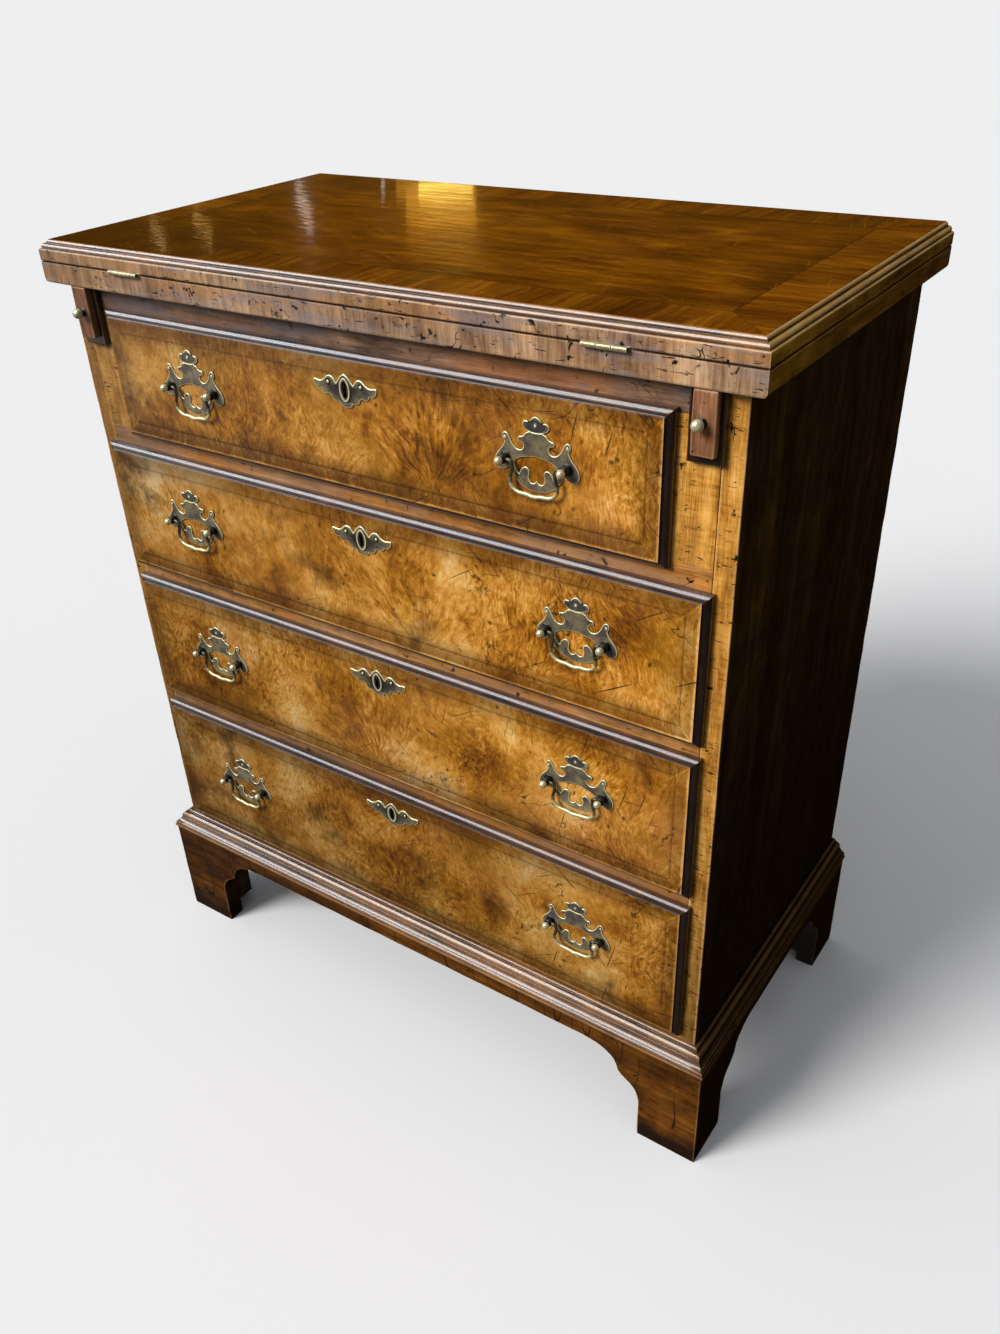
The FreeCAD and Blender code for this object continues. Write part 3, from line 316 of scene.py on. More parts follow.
def walnut(name, axis, tones, gloss=(0.28, 0.45), streak=1.0, worn=None,
           dirt=(26, 14, 7), coat=0.1, cross=1.0, wear_amount=0.8,
           spec=0.5, dents=1.0, tint=None, fall=None, ticks=0.0,
           seed=0.0, patch=None, splits=0.0, painted_sheen=None, coat_rough=0.09,
           relief=1.0, fiddle=0.0):
    """Straight-grained walnut along one axis, dirty in hollows, worn on
    arrises. tones run from dark to light, tint is a second colour that
    lies over it in clouds."""
    g = Mat(name, IOR=1.5, Coat_Weight=coat, Coat_Roughness=coat_rough,
            Specular_IOR_Level=spec)
    x, y, z = g.xyz()
    here = g.ve("ADD", g.co, (seed, seed * 0.6, seed * 1.7))
    p = g.wobble(here, 7, 0.012, 3.0)
    a = g.noise(along(g, p, axis, 9, 130 * cross), 1.0, 4.0, 0.6)
    b = g.noise(along(g, p, axis, 42, 760 * cross), 1.0, 3.0, 0.6)
    c = g.noise(along(g, p, axis, 3.2, 30 * cross), 1.0, 2.0)
    blot = g.noise(here, 34, 4.0, 0.6)
    value = g.ma("ADD", g.ma("MULTIPLY_ADD", a, 0.8 * streak,
                             0.5 - 0.4 * streak),
                 g.ma("MULTIPLY_ADD", b, 0.55 * streak, -0.275 * streak))
    value = g.ma("ADD", value, g.ma("MULTIPLY_ADD", c, 0.6, -0.3))
    value = g.ma("ADD", value, g.ma("MULTIPLY_ADD", blot, 0.7, -0.35))
    if fiddle:
        # ripple marks across the grain
        over = {"X": "Z", "Z": "X", "Y": "Z"}[axis]
        f = g.noise(along(g, g.wobble(here, 30, 0.006), over, 60, 360), 1.0,
                    3.0, 0.6)
        value = g.ma("ADD", value, g.ma("MULTIPLY_ADD", f, fiddle,
                                        -0.5 * fiddle))
    n = len(tones) - 1
    stops = [(0.18 + 0.64 * i / n, t) for i, t in enumerate(tones)]
    color = g.ramp(value, stops)
    if tint:
        over = g.span(g.noise(along(g, here, patch or axis, 7, 40), 1.0,
                              4.0, 0.6), 0.46, 0.58)
        color = g.mix(g.ma("MULTIPLY", over, 0.85), color,
                      g.ramp(value, [(0.2, tuple(int(v * 0.62)
                                                 for v in tint)),
                                     (0.8, tint)]))
    # painted sheen: a pale grey veil laid in patches stands in for a
    # reflection
    if painted_sheen:
        over = g.span(g.noise(along(g, g.ve("ADD", here, (0.9, 0.3, 2.1)),
                                    patch or axis, 12, 55), 1.0, 3.0, 0.6),
                      0.50, 0.60)
        color = g.mix(g.ma("MULTIPLY", over, 0.50), color, painted_sheen)
    pores = g.span(g.noise(along(g, p, axis, 95, 2300), 1.0, 1.0), 0.66,
                   0.74)
    color = g.mix(g.ma("MULTIPLY", pores, 0.55), color, dirt)
    e = g.edge()
    patchy = g.noise(here, 40, 3.0, 0.6)
    low = g.span(e, -0.05, -0.9, 0.0, 1.0)
    low = g.ma("MULTIPLY", low, g.span(patchy, 0.25, 0.55, 0.8, 1.0))
    # fall paints a light falloff, darker to the left and towards the floor; it
    # also darkens a band within a few centimetres of the floor
    if fall:
        color = painted_light_falloff(g, color, *fall)
        floor_band = g.ma("ADD", z, g.ma("MULTIPLY_ADD", blot, 0.03, -0.015))
        color = g.mix(g.span(floor_band, 0.012, 0.034, 0.93, 0.0), color, dirt)
    color = g.mix(low, color, dirt)
    if worn is None:
        worn = tones[-1]
    high = g.ma("MULTIPLY", g.span(e, 0.15, 0.9),
                g.span(patchy, 0.25, 0.70, 0.45, 1.0))
    high = g.ma("MULTIPLY", high, wear_amount)
    color = g.mix(high, color, worn)
    bruise = g.ma("MULTIPLY",
                  g.span(g.noise(here, 150, 2.0, 0.5, 0.4), 0.66, 0.74),
                  0.7 * dents)
    bruise = g.ma("MAXIMUM", bruise, g.ma("MULTIPLY",
                                          cracks(g, 16.0, 0.005, 3.1 + seed,
                                                 0.6), dents))
    if ticks:
        # short dark checks across the grain
        up = {"X": "Z", "Z": "X", "Y": "Z"}[axis]
        t = g.noise(along(g, g.wobble(here, 90, 0.004), up, 70, 620), 1.0,
                    1.0)
        t = g.ma("MULTIPLY", g.span(t, 0.66, 0.72),
                 g.span(g.noise(here, 22, 2.0), 0.36, 0.52))
        bruise = g.ma("MAXIMUM", bruise, g.ma("MULTIPLY", t, ticks))
    if splits:
        t = g.noise(along(g, g.wobble(here, 16, 0.008, 1.0), "Z", 8, 46),
                    1.0, 0.0)
        t = g.span(g.ma("ABSOLUTE", g.ma("SUBTRACT", t, 0.5)), 0.017, 0.005)
        t = g.ma("MULTIPLY", t, g.span(g.noise(here, 14, 2.0), 0.36, 0.46))
        bruise = g.ma("MAXIMUM", bruise, g.ma("MULTIPLY", t, splits))
    color = g.mix(bruise, color, dirt)
    g.set("Base Color", color)
    r = g.span(blot, 0.3, 0.7, gloss[0], gloss[1])
    r = g.ma("ADD", r, g.ma("MULTIPLY", high, 0.04))
    g.set("Roughness", r)
    wave = g.bump(g.noise(along(g, here, axis, 18, 90), 1.0, 2.0), 0.0006,
                  0.25 * relief)
    height = g.ma("SUBTRACT", g.ma("MULTIPLY", b, 0.25),
                  g.ma("ADD", bruise, g.ma("MULTIPLY", pores, 0.4)))
    g.set("Normal", g.bump(height, 0.00014, 0.7 * relief, wave))
    return g.m


def bare(name, axis, tones, soot_and_hole_shade=(70, 52, 34)):
    """Bare aged softwood or oak."""
    g = Mat(name, IOR=1.45)
    p = g.wobble(g.co, 5, 0.02, 3.0)
    rings = g.noise(along(g, p, axis, 3.0, 60), 1.0, 4.0, 0.55, 0.3)
    fibre = g.noise(along(g, p, axis, 30, 900), 1.0, 3.0, 0.6)
    stain = g.noise(g.co, 6, 4.0, 0.6)
    value = g.ma("ADD", g.ma("MULTIPLY_ADD", rings, 1.2, -0.1),
                 g.ma("MULTIPLY_ADD", fibre, 0.5, -0.25))
    n = len(tones) - 1
    color = g.ramp(value, [(0.2 + 0.6 * i / n, t)
                           for i, t in enumerate(tones)])
    color = g.mix(g.span(stain, 0.45, 0.75, 0.0, 0.6), color, soot_and_hole_shade)
    e = g.edge()
    color = g.mix(g.span(e, 0.2, 1.0, 0.0, 0.45), color, soot_and_hole_shade)
    g.set("Base Color", color)
    g.set("Roughness", g.span(fibre, 0.3, 0.7, 0.62, 0.85))
    g.set("Normal", g.bump(fibre, 0.0003, 0.6))
    return g.m


def top_veneer(name, border=47.0, gloss=0.11):
    """Long-grained leaf with a mitred crossbanded border."""
    g = Mat(name, IOR=1.5, Coat_Weight=0.60, Coat_Roughness=0.022,
            Coat_IOR=1.5)
    x, y, z = g.xyz()
    mm = 0.001
    dx = g.ma("SUBTRACT", 341 * mm, g.ma("ABSOLUTE", x))
    df = g.ma("SUBTRACT", y, (-13 + FRONT) * mm)
    db = g.ma("SUBTRACT", (351 + FRONT) * mm, y)
    dy = g.ma("MINIMUM", df, db)
    d = g.ma("MINIMUM", dx, dy)
    band = g.ma("LESS_THAN", d, border * mm)
    ends = g.ma("LESS_THAN", dx, dy)
    p = g.wobble(g.wobble(g.co, 6, 0.03, 3.0), 40, 0.006)
    # field: grain along the length with cloudy figure
    f1 = g.noise(along(g, p, "X", 15, 120), 1.0, 4.0, 0.6)
    f2 = g.noise(along(g, p, "X", 60, 700), 1.0, 3.0, 0.55)
    f3 = g.noise(along(g, p, "X", 9, 26), 1.0, 4.0, 0.6, 0.8)
    field = g.ma("ADD", g.ma("MULTIPLY_ADD", f1, 0.8, 0.1),
                 g.ma("MULTIPLY_ADD", f3, 1.1, -0.55))
    field = g.ma("ADD", field, g.ma("MULTIPLY_ADD", f2, 0.4, -0.2))
    # border: grain across it
    bx = g.ma("ADD", g.noise(along(g, p, "X", 14, 210), 1.0, 4.0, 0.6),
              g.ma("MULTIPLY_ADD",
                   g.noise(along(g, p, "X", 7, 34), 1.0, 3.0), 0.9, -0.45))
    by = g.ma("ADD", g.noise(along(g, p, "Y", 14, 210), 1.0, 4.0, 0.6),
              g.ma("MULTIPLY_ADD",
                   g.noise(along(g, p, "Y", 7, 34), 1.0, 3.0), 0.9, -0.45))
    strip = g.mix(ends, by, bx)
    inner = g.ramp(field, [(0.12, (52, 20, 0)), (0.36, (92, 45, 0)),
                           (0.56, (122, 67, 2)), (0.82, (166, 104, 10))])
    outer = g.ramp(strip, [(0.10, (46, 18, 0)), (0.38, (92, 45, 1)),
                           (0.60, (130, 74, 5)), (0.85, (164, 104, 18))])
    color = g.mix(band, inner, outer)
    seam = g.span(g.ma("ABSOLUTE", g.ma("SUBTRACT", d, border * mm)),
                  0.0009, 0.0003)
    seam = g.ma("MULTIPLY", seam, g.span(g.noise(g.co, 30, 2.0), 0.3, 0.6,
                                         0.5, 0.95))
    # shade gathered inside the border, darkest at the left front
    near = g.ma("MULTIPLY", g.span(d, border * mm, (border + 34) * mm, 1.0,
                                   0.0, True),
                g.ma("SUBTRACT", 1.0, band))
    near = g.ma("MULTIPLY", near, g.span(g.noise(g.co, 9, 3.0), 0.38, 0.62,
                                         0.1, 0.75))
    color = g.mix(near, color, (50, 20, 0))
    corner = g.ma("MULTIPLY", g.span(x, 0.02, -0.26, 0.0, 1.0, True),
                  g.span(y, 0.02, -0.16, 0.0, 1.0, True))
    color = g.mix(g.ma("MULTIPLY", corner, 0.75), color, (38, 12, 0))
    mitre = g.ma("MULTIPLY", g.span(
        g.ma("ABSOLUTE", g.ma("SUBTRACT", dx, dy)), 0.0006, 0.0002), band)
    color = g.mix(g.ma("MAXIMUM", seam, g.ma("MULTIPLY", mitre, 0.7)),
                  color, (34, 14, 3))
    far = g.noise(g.co, 4.0, 3.0)
    color = g.mix(g.span(far, 0.50, 0.68, 0.0, 0.65), color, (52, 20, 0))
    marks = scratches(g, "Z", 0.6)
    color = g.mix(marks, color, (160, 100, 22))
    e = g.edge()
    color = g.mix(g.span(e, 0.2, 1.0, 0.0, 0.5), color, (150, 90, 30))
    g.set("Base Color", color)
    g.set("Roughness", g.span(g.noise(g.co, 20, 4.0), 0.3, 0.7, gloss,
                              gloss + 0.16))
    ripple = g.noise(along(g, g.wobble(g.co, 7, 0.012), "X", 5, 110), 1.0,
                     3.0, 0.6)
    n1 = g.bump(ripple, 0.0011, 0.14)
    g.set("Normal", g.bump(g.ma("MULTIPLY_ADD", f2, 0.3,
                                g.ma("MULTIPLY", marks, -1.0)), 0.00012,
                           0.6, n1))
    g.b.inputs["Coat Normal"].default_value = (0, 0, 0)
    g.put(g.b.inputs["Coat Normal"], n1)
    return g.m


def brass(name, bright, face, dirt, metal=0.85, rough=(0.26, 0.48),
          cool=None):
    """Old brass: face colour on flats, bright on rims, dark in hollows."""
    g = Mat(name, Metallic=metal, IOR=1.5)
    e = g.edge()
    spots = g.noise(g.co, 420, 4.0, 0.65)
    cloud = g.noise(g.co, 75, 3.0, 0.6)
    if cool is None:
        cool = tuple(int(c * 0.66) for c in face)
    color = g.mix(g.span(cloud, 0.38, 0.62), face, cool)
    color = g.mix(g.ma("MULTIPLY", g.span(spots, 0.53, 0.70), 0.60), color,
                  dirt)
    rim = g.ma("MULTIPLY", g.span(e, 0.2, 0.8), g.span(spots, 0.2, 0.5,
                                                       0.75, 1.0))
    color = g.mix(rim, color, bright)
    color = g.mix(g.ma("MULTIPLY", g.span(e, -0.1, -0.8), 0.95), color,
                  dirt)
    g.set("Base Color", color)
    g.set("Roughness", g.span(spots, 0.3, 0.7, rough[0], rough[1]))
    g.set("Normal", g.bump(g.ma("ADD", spots, g.ma("MULTIPLY", cloud, 2.0)),
                           0.00012, 0.5))
    return g.m


def iron(name):
    g = Mat(name, Metallic=0.8)
    n = g.noise(g.co, 160, 4.0, 0.6)
    color = g.ramp(n, [(0.3, (58, 46, 38)), (0.5, (92, 84, 78)),
                       (0.7, (120, 116, 110))])
    rust = g.span(g.noise(g.co, 60, 4.0), 0.55, 0.66)
    color = g.mix(g.ma("MULTIPLY", rust, 0.7), color, (92, 52, 28))
    g.set("Base Color", color)
    g.set("Roughness", g.span(n, 0.3, 0.7, 0.42, 0.7))
    g.set("Normal", g.bump(n, 0.0003, 0.5))
    return g.m


M = {}
FANS = {1: (0.075, 0.628), 2: (0.050, 0.480), 3: (-0.02, 0.331),
        4: (0.006, 0.162)}
for k in (1, 2, 3, 4):
    M["burr%d" % k] = burr("walnut_burr_%d" % k, FANS[k], 0.7 * k)
# fall=(left, low, high) in the materials below paints a light falloff, darker
# to the left and towards the floor
lip = [(34, 17, 6), (60, 32, 11), (88, 51, 20), (118, 74, 34)]
M["lip_X"] = walnut("walnut_lip_X", "X", lip, (0.26, 0.38),
                    worn=(150, 104, 62), coat=0.8, spec=0.7,
                    wear_amount=0.5, dents=0.5, fall=(0.8, 0.7),
                    coat_rough=0.25, relief=0.15)
# near-black copy of the lip for its end faces and the lopers' flanges: painted
# shade
lip_painted_shade_tones = [(14, 8, 4), (26, 15, 8), (40, 23, 12), (58, 34, 18)]
M["lip_Z"] = walnut("walnut_lip_Z", "Z", lip_painted_shade_tones, (0.2, 0.34),
                    worn=(92, 58, 34), coat=0.4, wear_amount=0.5, dents=0.5)
gold = [(124, 75, 20), (188, 128, 48), (230, 171, 84), (248, 208, 132)]
for a in "XYZ":
    M["gold_" + a] = walnut("walnut_gold_" + a, a, gold, (0.3, 0.48),
                            worn=(236, 190, 120), dents=1.4,
                            fall=(0.48, 0.25, 0.60), ticks=1.0,
                            wear_amount=0.45, tint=(218, 150, 62), spec=0.3,
                            coat=0.05, fiddle=0.34)
rail = [(100, 64, 30), (156, 106, 54), (198, 144, 84), (226, 182, 122)]
M["rail_X"] = walnut("walnut_rail_X", "X", rail, (0.28, 0.44),
                     worn=(216, 170, 118), dents=1.3, fall=(0.60, 0.34, 0.60),
                     tint=(214, 136, 52), wear_amount=0.35, spec=0.3,
                     coat=0.05, painted_sheen=(150, 120, 98))
tan = [(74, 51, 35), (126, 95, 70), (166, 132, 100), (202, 168, 134)]
M["tan_X"] = walnut("walnut_tan_X", "Z", tan, (0.28, 0.46),
                    worn=(214, 176, 132), dents=1.7, streak=1.1, cross=0.9,
                    tint=(200, 146, 94), fall=(0.72, 1.0), ticks=1.0,
                    wear_amount=0.55, patch="X", spec=0.3, coat=0.05,
                    painted_sheen=(132, 124, 128))
block_ = [(68, 40, 26), (112, 71, 47), (148, 102, 70), (180, 134, 100)]
M["tan_Z"] = walnut("walnut_tan_Z", "Z", block_, (0.28, 0.46),
                    worn=(186, 140, 100), dents=1.2, fall=(0.62, 1.0),
                    wear_amount=0.5, spec=0.3, coat=0.05)
under = [(62, 44, 34), (106, 80, 62), (148, 114, 88), (190, 148, 116)]
M["shadow_X"] = walnut("walnut_shadow_X", "X", under, (0.28, 0.46),
                       worn=(160, 122, 90), dents=1.2, fall=(0.40, 1.0),
                       wear_amount=0.4, tint=(176, 116, 72), spec=0.3,
                       coat=0.05, painted_sheen=(118, 112, 120))
mould = [(42, 22, 6), (80, 46, 15), (120, 76, 32), (164, 112, 60)]
for a in "XYZ":
    M["mould_" + a] = walnut("walnut_mould_" + a, a, mould, (0.20, 0.32),
                             worn=(196, 148, 98), coat=0.8, spec=0.7,
                             wear_amount=0.45, dents=0.3, fall=(0.7, 0.8),
                             coat_rough=0.23, relief=0.10)
brown = [(40, 20, 2), (68, 37, 4), (96, 55, 9), (128, 80, 22)]
for a in "XYZ":
    M["brown_" + a] = walnut("walnut_brown_" + a, a, brown, (0.30, 0.46),
                             worn=(190, 136, 70), dents=1.4,
                             fall=(0.60, 1.0), ticks=0.5, wear_amount=0.75,
                             splits=1.0, streak=1.0, spec=0.28, coat=0.05)
ends = [(74, 48, 8), (114, 76, 15), (152, 106, 28), (188, 140, 52)]
M["ends_Y"] = walnut("walnut_ends_Y", "Y", ends, (0.24, 0.40),
                     worn=(224, 190, 132), wear_amount=0.85, dents=0.8)
# darker walnut for the sides: its darkness is in part painted shade of the
# sides turned from the light, and fall paints more shade towards the floor
side = [(26, 16, 6), (48, 32, 10), (70, 47, 16), (98, 68, 24)]
for a in "XYZ":
    M["side_" + a] = walnut("walnut_side_" + a, a, side, (0.30, 0.46),
                            worn=(140, 100, 44), dirt=(10, 6, 3),
                            wear_amount=0.5, fall=(1.0, 0.20, 0.66))
M["top"] = top_veneer("walnut_top")
M["under"] = top_veneer("walnut_leaf_inside", 47.0, 0.24)
oak = [(112, 82, 50), (146, 112, 72), (172, 138, 94), (190, 158, 114)]
pine = [(120, 84, 46), (152, 112, 66), (176, 136, 86), (196, 158, 108)]
for a in "XYZ":
    M["oak_" + a] = bare("oak_" + a, a, oak)
    M["pine_" + a] = bare("pine_" + a, a, pine)
M["grimy"] = bare("pine_grimy", "X", [(44, 30, 18), (62, 44, 27),
                                      (80, 58, 36), (98, 74, 48)],
                  (26, 18, 12))
M["brass"] = brass("brass_plate", (226, 216, 166), (142, 130, 98),
                   (22, 18, 11), 0.40, (0.26, 0.44), (92, 84, 82))
M["brass_hinge"] = brass("brass_hinge", (238, 226, 188), (186, 166, 116),
                         (30, 24, 12), 0.5, (0.24, 0.4))
M["brass_dish"] = brass("brass_dish", (190, 184, 150), (96, 96, 92),
                        (22, 20, 18), 0.45, (0.26, 0.42), (74, 74, 76))
M["brass_ball"] = brass("brass_ball", (236, 228, 186), (214, 204, 154),
                        (70, 60, 34), 0.55, (0.16, 0.28))
# near-black brass for post necks, knob necks, screw slots and pins: painted
# shade
M["brass_painted_shade"] = brass("brass_painted_shade", (84, 80, 62), (30, 27, 20),
                        (9, 8, 6), 0.6, (0.24, 0.42))
M["brass_bail"] = brass("brass_bail", (214, 204, 156), (112, 102, 74),
                        (22, 18, 10), 0.5, (0.20, 0.36), (84, 78, 60))
# near-black for the keyhole's walls and the flat inside the escutcheon's oval:
# painted shade of the hole
g = Mat("keyhole_painted_shade", Roughness=0.85)
g.set("Base Color", g.mix(g.noise(g.co, 300, 2.0), (6, 5, 4), (16, 12, 9)))
M["soot_and_hole_shade"] = g.m
M["iron"] = iron("lock_iron_dull")


# ---------------------------------------------------------------- meshes
class Shell:
    """Points and faces of one piece, with a wear value at each point."""

    def __init__(s):
        s.pts, s.wear, s.faces, s.mats = [], [], [], []

    def pt(s, x, y, z, e=0.0):
        s.pts.append(at(x, y, z))
        s.wear.append(e)
        return len(s.pts) - 1

    def face(s, idx, mat=0):
        s.faces.append(tuple(idx))
        s.mats.append(mat)

    def loops(s, rows, mat=0, closed=True):
        for i in range(len(rows) - 1):
            a, b = rows[i], rows[i + 1]
            n = len(a)
            for j in range(n if closed else n - 1):
                k = (j + 1) % n
                s.face((a[j], a[k], b[k], b[j]),
                       mat(i, j) if callable(mat) else mat)

    def merge(s, other, shift=(0, 0, 0), flip=1.0, mat=0):
        """Add another shell, moved, and mirrored in x if flip is -1."""
        base = len(s.pts)
        d = [v * 0.001 for v in shift]
        for p in other.pts:
            s.pts.append((p[0] * flip + d[0], p[1] + d[1], p[2] + d[2]))
        s.wear += other.wear
        for f in other.faces:
            s.faces.append(tuple(i + base for i in f))
        s.mats += [m + mat for m in other.mats]


def evaluated(ob):
    dg = bpy.context.evaluated_depsgraph_get()
    me = bpy.data.meshes.new_from_object(ob.evaluated_get(dg))
    ob.modifiers.clear()
    old = ob.data
    ob.data = me
    bpy.data.meshes.remove(old)
    return ob


def build(shell, name, mats, body, stands=(), sharp=34.0,
          cuts=(), wear=0.0, paint=None, freq=90.0):
    """Turn a shell into an object of the scene."""
    me = bpy.data.meshes.new(name)
    me.from_pydata(shell.pts, [], shell.faces)
    for key in mats:
        me.materials.append(M[key])
    me.polygons.foreach_set("material_index", shell.mats)
    attr = me.attributes.new("edge", "FLOAT", "POINT")
    attr.data.foreach_set("value", shell.wear)
    bm = bmesh.new()
    bm.from_mesh(me)
    bmesh.ops.remove_doubles(bm, verts=bm.verts, dist=2e-6)
    bmesh.ops.dissolve_degenerate(bm, edges=bm.edges, dist=2e-6)
    bmesh.ops.recalc_face_normals(bm, faces=bm.faces)
    if wear:
        lay = bm.verts.layers.float["edge"]
        bm.normal_update()
        moves = []
        for v in bm.verts:
            e = v[lay]
            if e <= 0.2:
                continue
            n = noise.fractal(v.co * freq, 0.8, 2.2, 3)
            if freq > 70.0:
                n += 0.8 * noise.noise(v.co * freq * 4.0)
            depth = wear * 0.001 * e * max(0.0, 0.35 + 0.8 * n)
            moves.append((v, v.normal * depth))
        for v, d in moves:
            v.co -= d
    bm.to_mesh(me)
    bm.free()
    ob = bpy.data.objects.new(name, me)
    bpy.context.scene.collection.objects.link(ob)
    if cuts:
        tool = Shell()
        for lo, hi in cuts:
            solid(tool, lo, hi)
        tm = bpy.data.meshes.new("tool")
        tm.from_pydata(tool.pts, [], tool.faces)
        to = bpy.data.objects.new("tool", tm)
        bpy.context.scene.collection.objects.link(to)
        mod = ob.modifiers.new("cut", "BOOLEAN")
        mod.object = to
        mod.solver = "EXACT"
        mod.operation = "DIFFERENCE"
        bpy.context.view_layer.update()
        evaluated(ob)
        bpy.data.objects.remove(to)
        bpy.data.meshes.remove(tm)
        me = ob.data
        me.name = name
    if paint:
        for p in me.polygons:
            k = paint(p.center, p.normal, p.material_index)
            if k is not None:
                p.material_index = k
    me.shade_smooth()
    me.set_sharp_from_angle(angle=math.radians(sharp))
    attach(ob, body)
    if stands:
        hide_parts(*stands)
    return ob


def solid(s, lo, hi, mat=0):
    """A plain cutter between two corners."""
    i = [s.pt(x, y, z) for x in (lo[0], hi[0]) for y in (lo[1], hi[1])
         for z in (lo[2], hi[2])]
    for f in ((0, 1, 3, 2), (4, 6, 7, 5), (0, 4, 5, 1), (2, 3, 7, 6),
              (0, 2, 6, 4), (1, 5, 7, 3)):
        s.face([i[k] for k in f], mat)


def rect(a0, a1, b0, b1, na, nb, r=0.0, arc=0, sup=0.0):
    """A loop round a rectangle: (a, b, corner?, side)."""
    out = []
    corners = [(a0 + r, b0 + r, 180), (a1 - r, b0 + r, 270),
               (a1 - r, b1 - r, 0), (a0 + r, b1 - r, 90)]
    for side in range(4):
        ca, cb, start = corners[side]
        for k in range(arc + 1):
            t = math.radians(start + 90.0 * k / arc) if arc else 0.0
            if arc:
                out.append((ca + r * math.cos(t), cb + r * math.sin(t), 1,
                            side))
            else:
                out.append((ca, cb, 1, side))
        na_b = na if side % 2 == 0 else nb
        nxt = corners[(side + 1) % 4]
        if arc:
            t = math.radians(start + 90.0)
            p0 = (ca + r * math.cos(t), cb + r * math.sin(t))
            q = math.radians(nxt[2])
            p1 = (nxt[0] + r * math.cos(q), nxt[1] + r * math.sin(q))
        else:
            p0, p1 = (ca, cb), (nxt[0], nxt[1])
        length = math.hypot(p1[0] - p0[0], p1[1] - p0[1])
        spots = [k / na_b for k in range(1, na_b)]
        if sup and length > 4 * sup:
            spots = [sup / length] + [min(max(f, 1.5 * sup / length),
                                          1 - 1.5 * sup / length)
                                      for f in spots] + [1 - sup / length]
        elif sup:
            spots = [0.2] + [0.2 + 0.6 * f for f in spots] + [0.8]
        for f in spots:
            out.append((p0[0] + (p1[0] - p0[0]) * f,
                        p0[1] + (p1[1] - p0[1]) * f, 0, side))
    return out


def stack(s, rings, place, na, nb, mat=0, caps=(0, 0), arc=0, sup=0.0):
    """Join rectangular rings: (a0, a1, b0, b1, c, wear, corner radius,
    corner wear)."""
    rows, sides = [], None
    for a0, a1, b0, b1, c, e, r, ec in rings:
        loop = rect(a0, a1, b0, b1, na, nb, r, arc, sup)
        sides = [q[3] for q in loop]
        rows.append([s.pt(*place(a, b, c), (max(e, ec) if corner else e)
                          if ec >= 0 or e >= 0 else e)
                     for a, b, corner, side in loop])
    if callable(mat):
        s.loops(rows, lambda i, j: mat(i, sides[j]))
    else:
        s.loops(rows, mat)
    if caps[0] is not None:
        s.face(rows[0][::-1], caps[0])
    if caps[1] is not None:
        s.face(rows[-1], caps[1])
    return rows


PLACE = {"x": lambda a, b, c: (c, a, b), "y": lambda a, b, c: (a, c, b),
         "z": lambda a, b, c: (a, b, c)}


def block(s, lo, hi, axis="z", r=0.6, step=28.0, e=1.0, mat=0, sup=1.2):
    """A board with eased arrises; axis is its thickness."""
    a, b, c = {"x": (1, 2, 0), "y": (0, 2, 1), "z": (0, 1, 2)}[axis]
    thick = hi[c] - lo[c]
    r = min(r, thick * 0.3, (hi[a] - lo[a]) * 0.3, (hi[b] - lo[b]) * 0.3)
    sup = min(sup, thick * 0.5 - r - 0.05)
    prof = [(r + sup, 0.0, 0.0), (r, 0.0, e * 0.9),
            (r * 0.5, r * 0.134, e), (r * 0.134, r * 0.5, e),
            (0.0, r, e * 0.9), (0.0, r + sup, 0.0)]
    rings = []
    for inset, deep, w in prof:
        rings.append((lo[a] + inset, hi[a] - inset, lo[b] + inset,
                      hi[b] - inset, lo[c] + deep, w,
                      max(r - inset, 0.02), 0 if inset > r else e))
    for inset, deep, w in reversed(prof):
        rings.append((lo[a] + inset, hi[a] - inset, lo[b] + inset,
                      hi[b] - inset, hi[c] - deep, w,
                      max(r - inset, 0.02), 0 if inset > r else e))
    na = max(1, int((hi[a] - lo[a]) / step))
    nb = max(1, int((hi[b] - lo[b]) / step))
    return stack(s, rings, PLACE[axis], na, nb, mat, (mat, mat), 2, sup)


def lathe(s, prof, cx, cy, cz, turn=24, axis="y", mat=0, flip=1.0):
    """Turn (radius, height out, wear) about an axis; -y is out."""
    rows = []
    for r, h, e in prof:
        row = []
        for k in range(turn):
            t = 2 * math.pi * k / turn
            u, v = r * math.cos(t), r * math.sin(t)
            if axis == "y":
                row.append(s.pt(cx + u, cy - h, cz + v, e))
            elif axis == "x":
                row.append(s.pt(cx + h * flip, cy + u, cz + v, e))
            else:
                row.append(s.pt(cx + u, cy + v, cz + h, e))
        rows.append(row)
    s.loops(rows, (lambda i, j: mat[i]) if isinstance(mat, (list, tuple))
            else mat)
    first = mat[0] if isinstance(mat, (list, tuple)) else mat
    last = mat[-1] if isinstance(mat, (list, tuple)) else mat
    s.face(rows[0][::-1], first)
    s.face(rows[-1], last)


def spline_run(pts, per=5):
    """Natural cubic through points by chord length."""
    p = np.array(pts, float)
    t = np.concatenate([[0], np.cumsum(np.hypot(*(p[1:] - p[:-1]).T))])
    n = len(p)
    if n < 3:
        return [tuple(q) for q in p[:-1]]
    h = np.diff(t)
    A = np.eye(n)
    rhs = np.zeros((n, 2))
    for i in range(1, n - 1):
        A[i, i - 1], A[i, i], A[i, i + 1] = (h[i - 1],
                                             2 * (h[i - 1] + h[i]), h[i])
        rhs[i] = 6 * ((p[i + 1] - p[i]) / h[i] -
                      (p[i] - p[i - 1]) / h[i - 1])
    m = np.linalg.solve(A, rhs)
    out = []
    for i in range(n - 1):
        for k in range(per):
            u = h[i] * k / per
            v = h[i] - u
            q = (m[i] * v ** 3 + m[i + 1] * u ** 3) / (6 * h[i]) + \
                (p[i] / h[i] - m[i] * h[i] / 6) * v + \
                (p[i + 1] / h[i] - m[i + 1] * h[i] / 6) * u
            out.append((float(q[0]), float(q[1])))
    return out


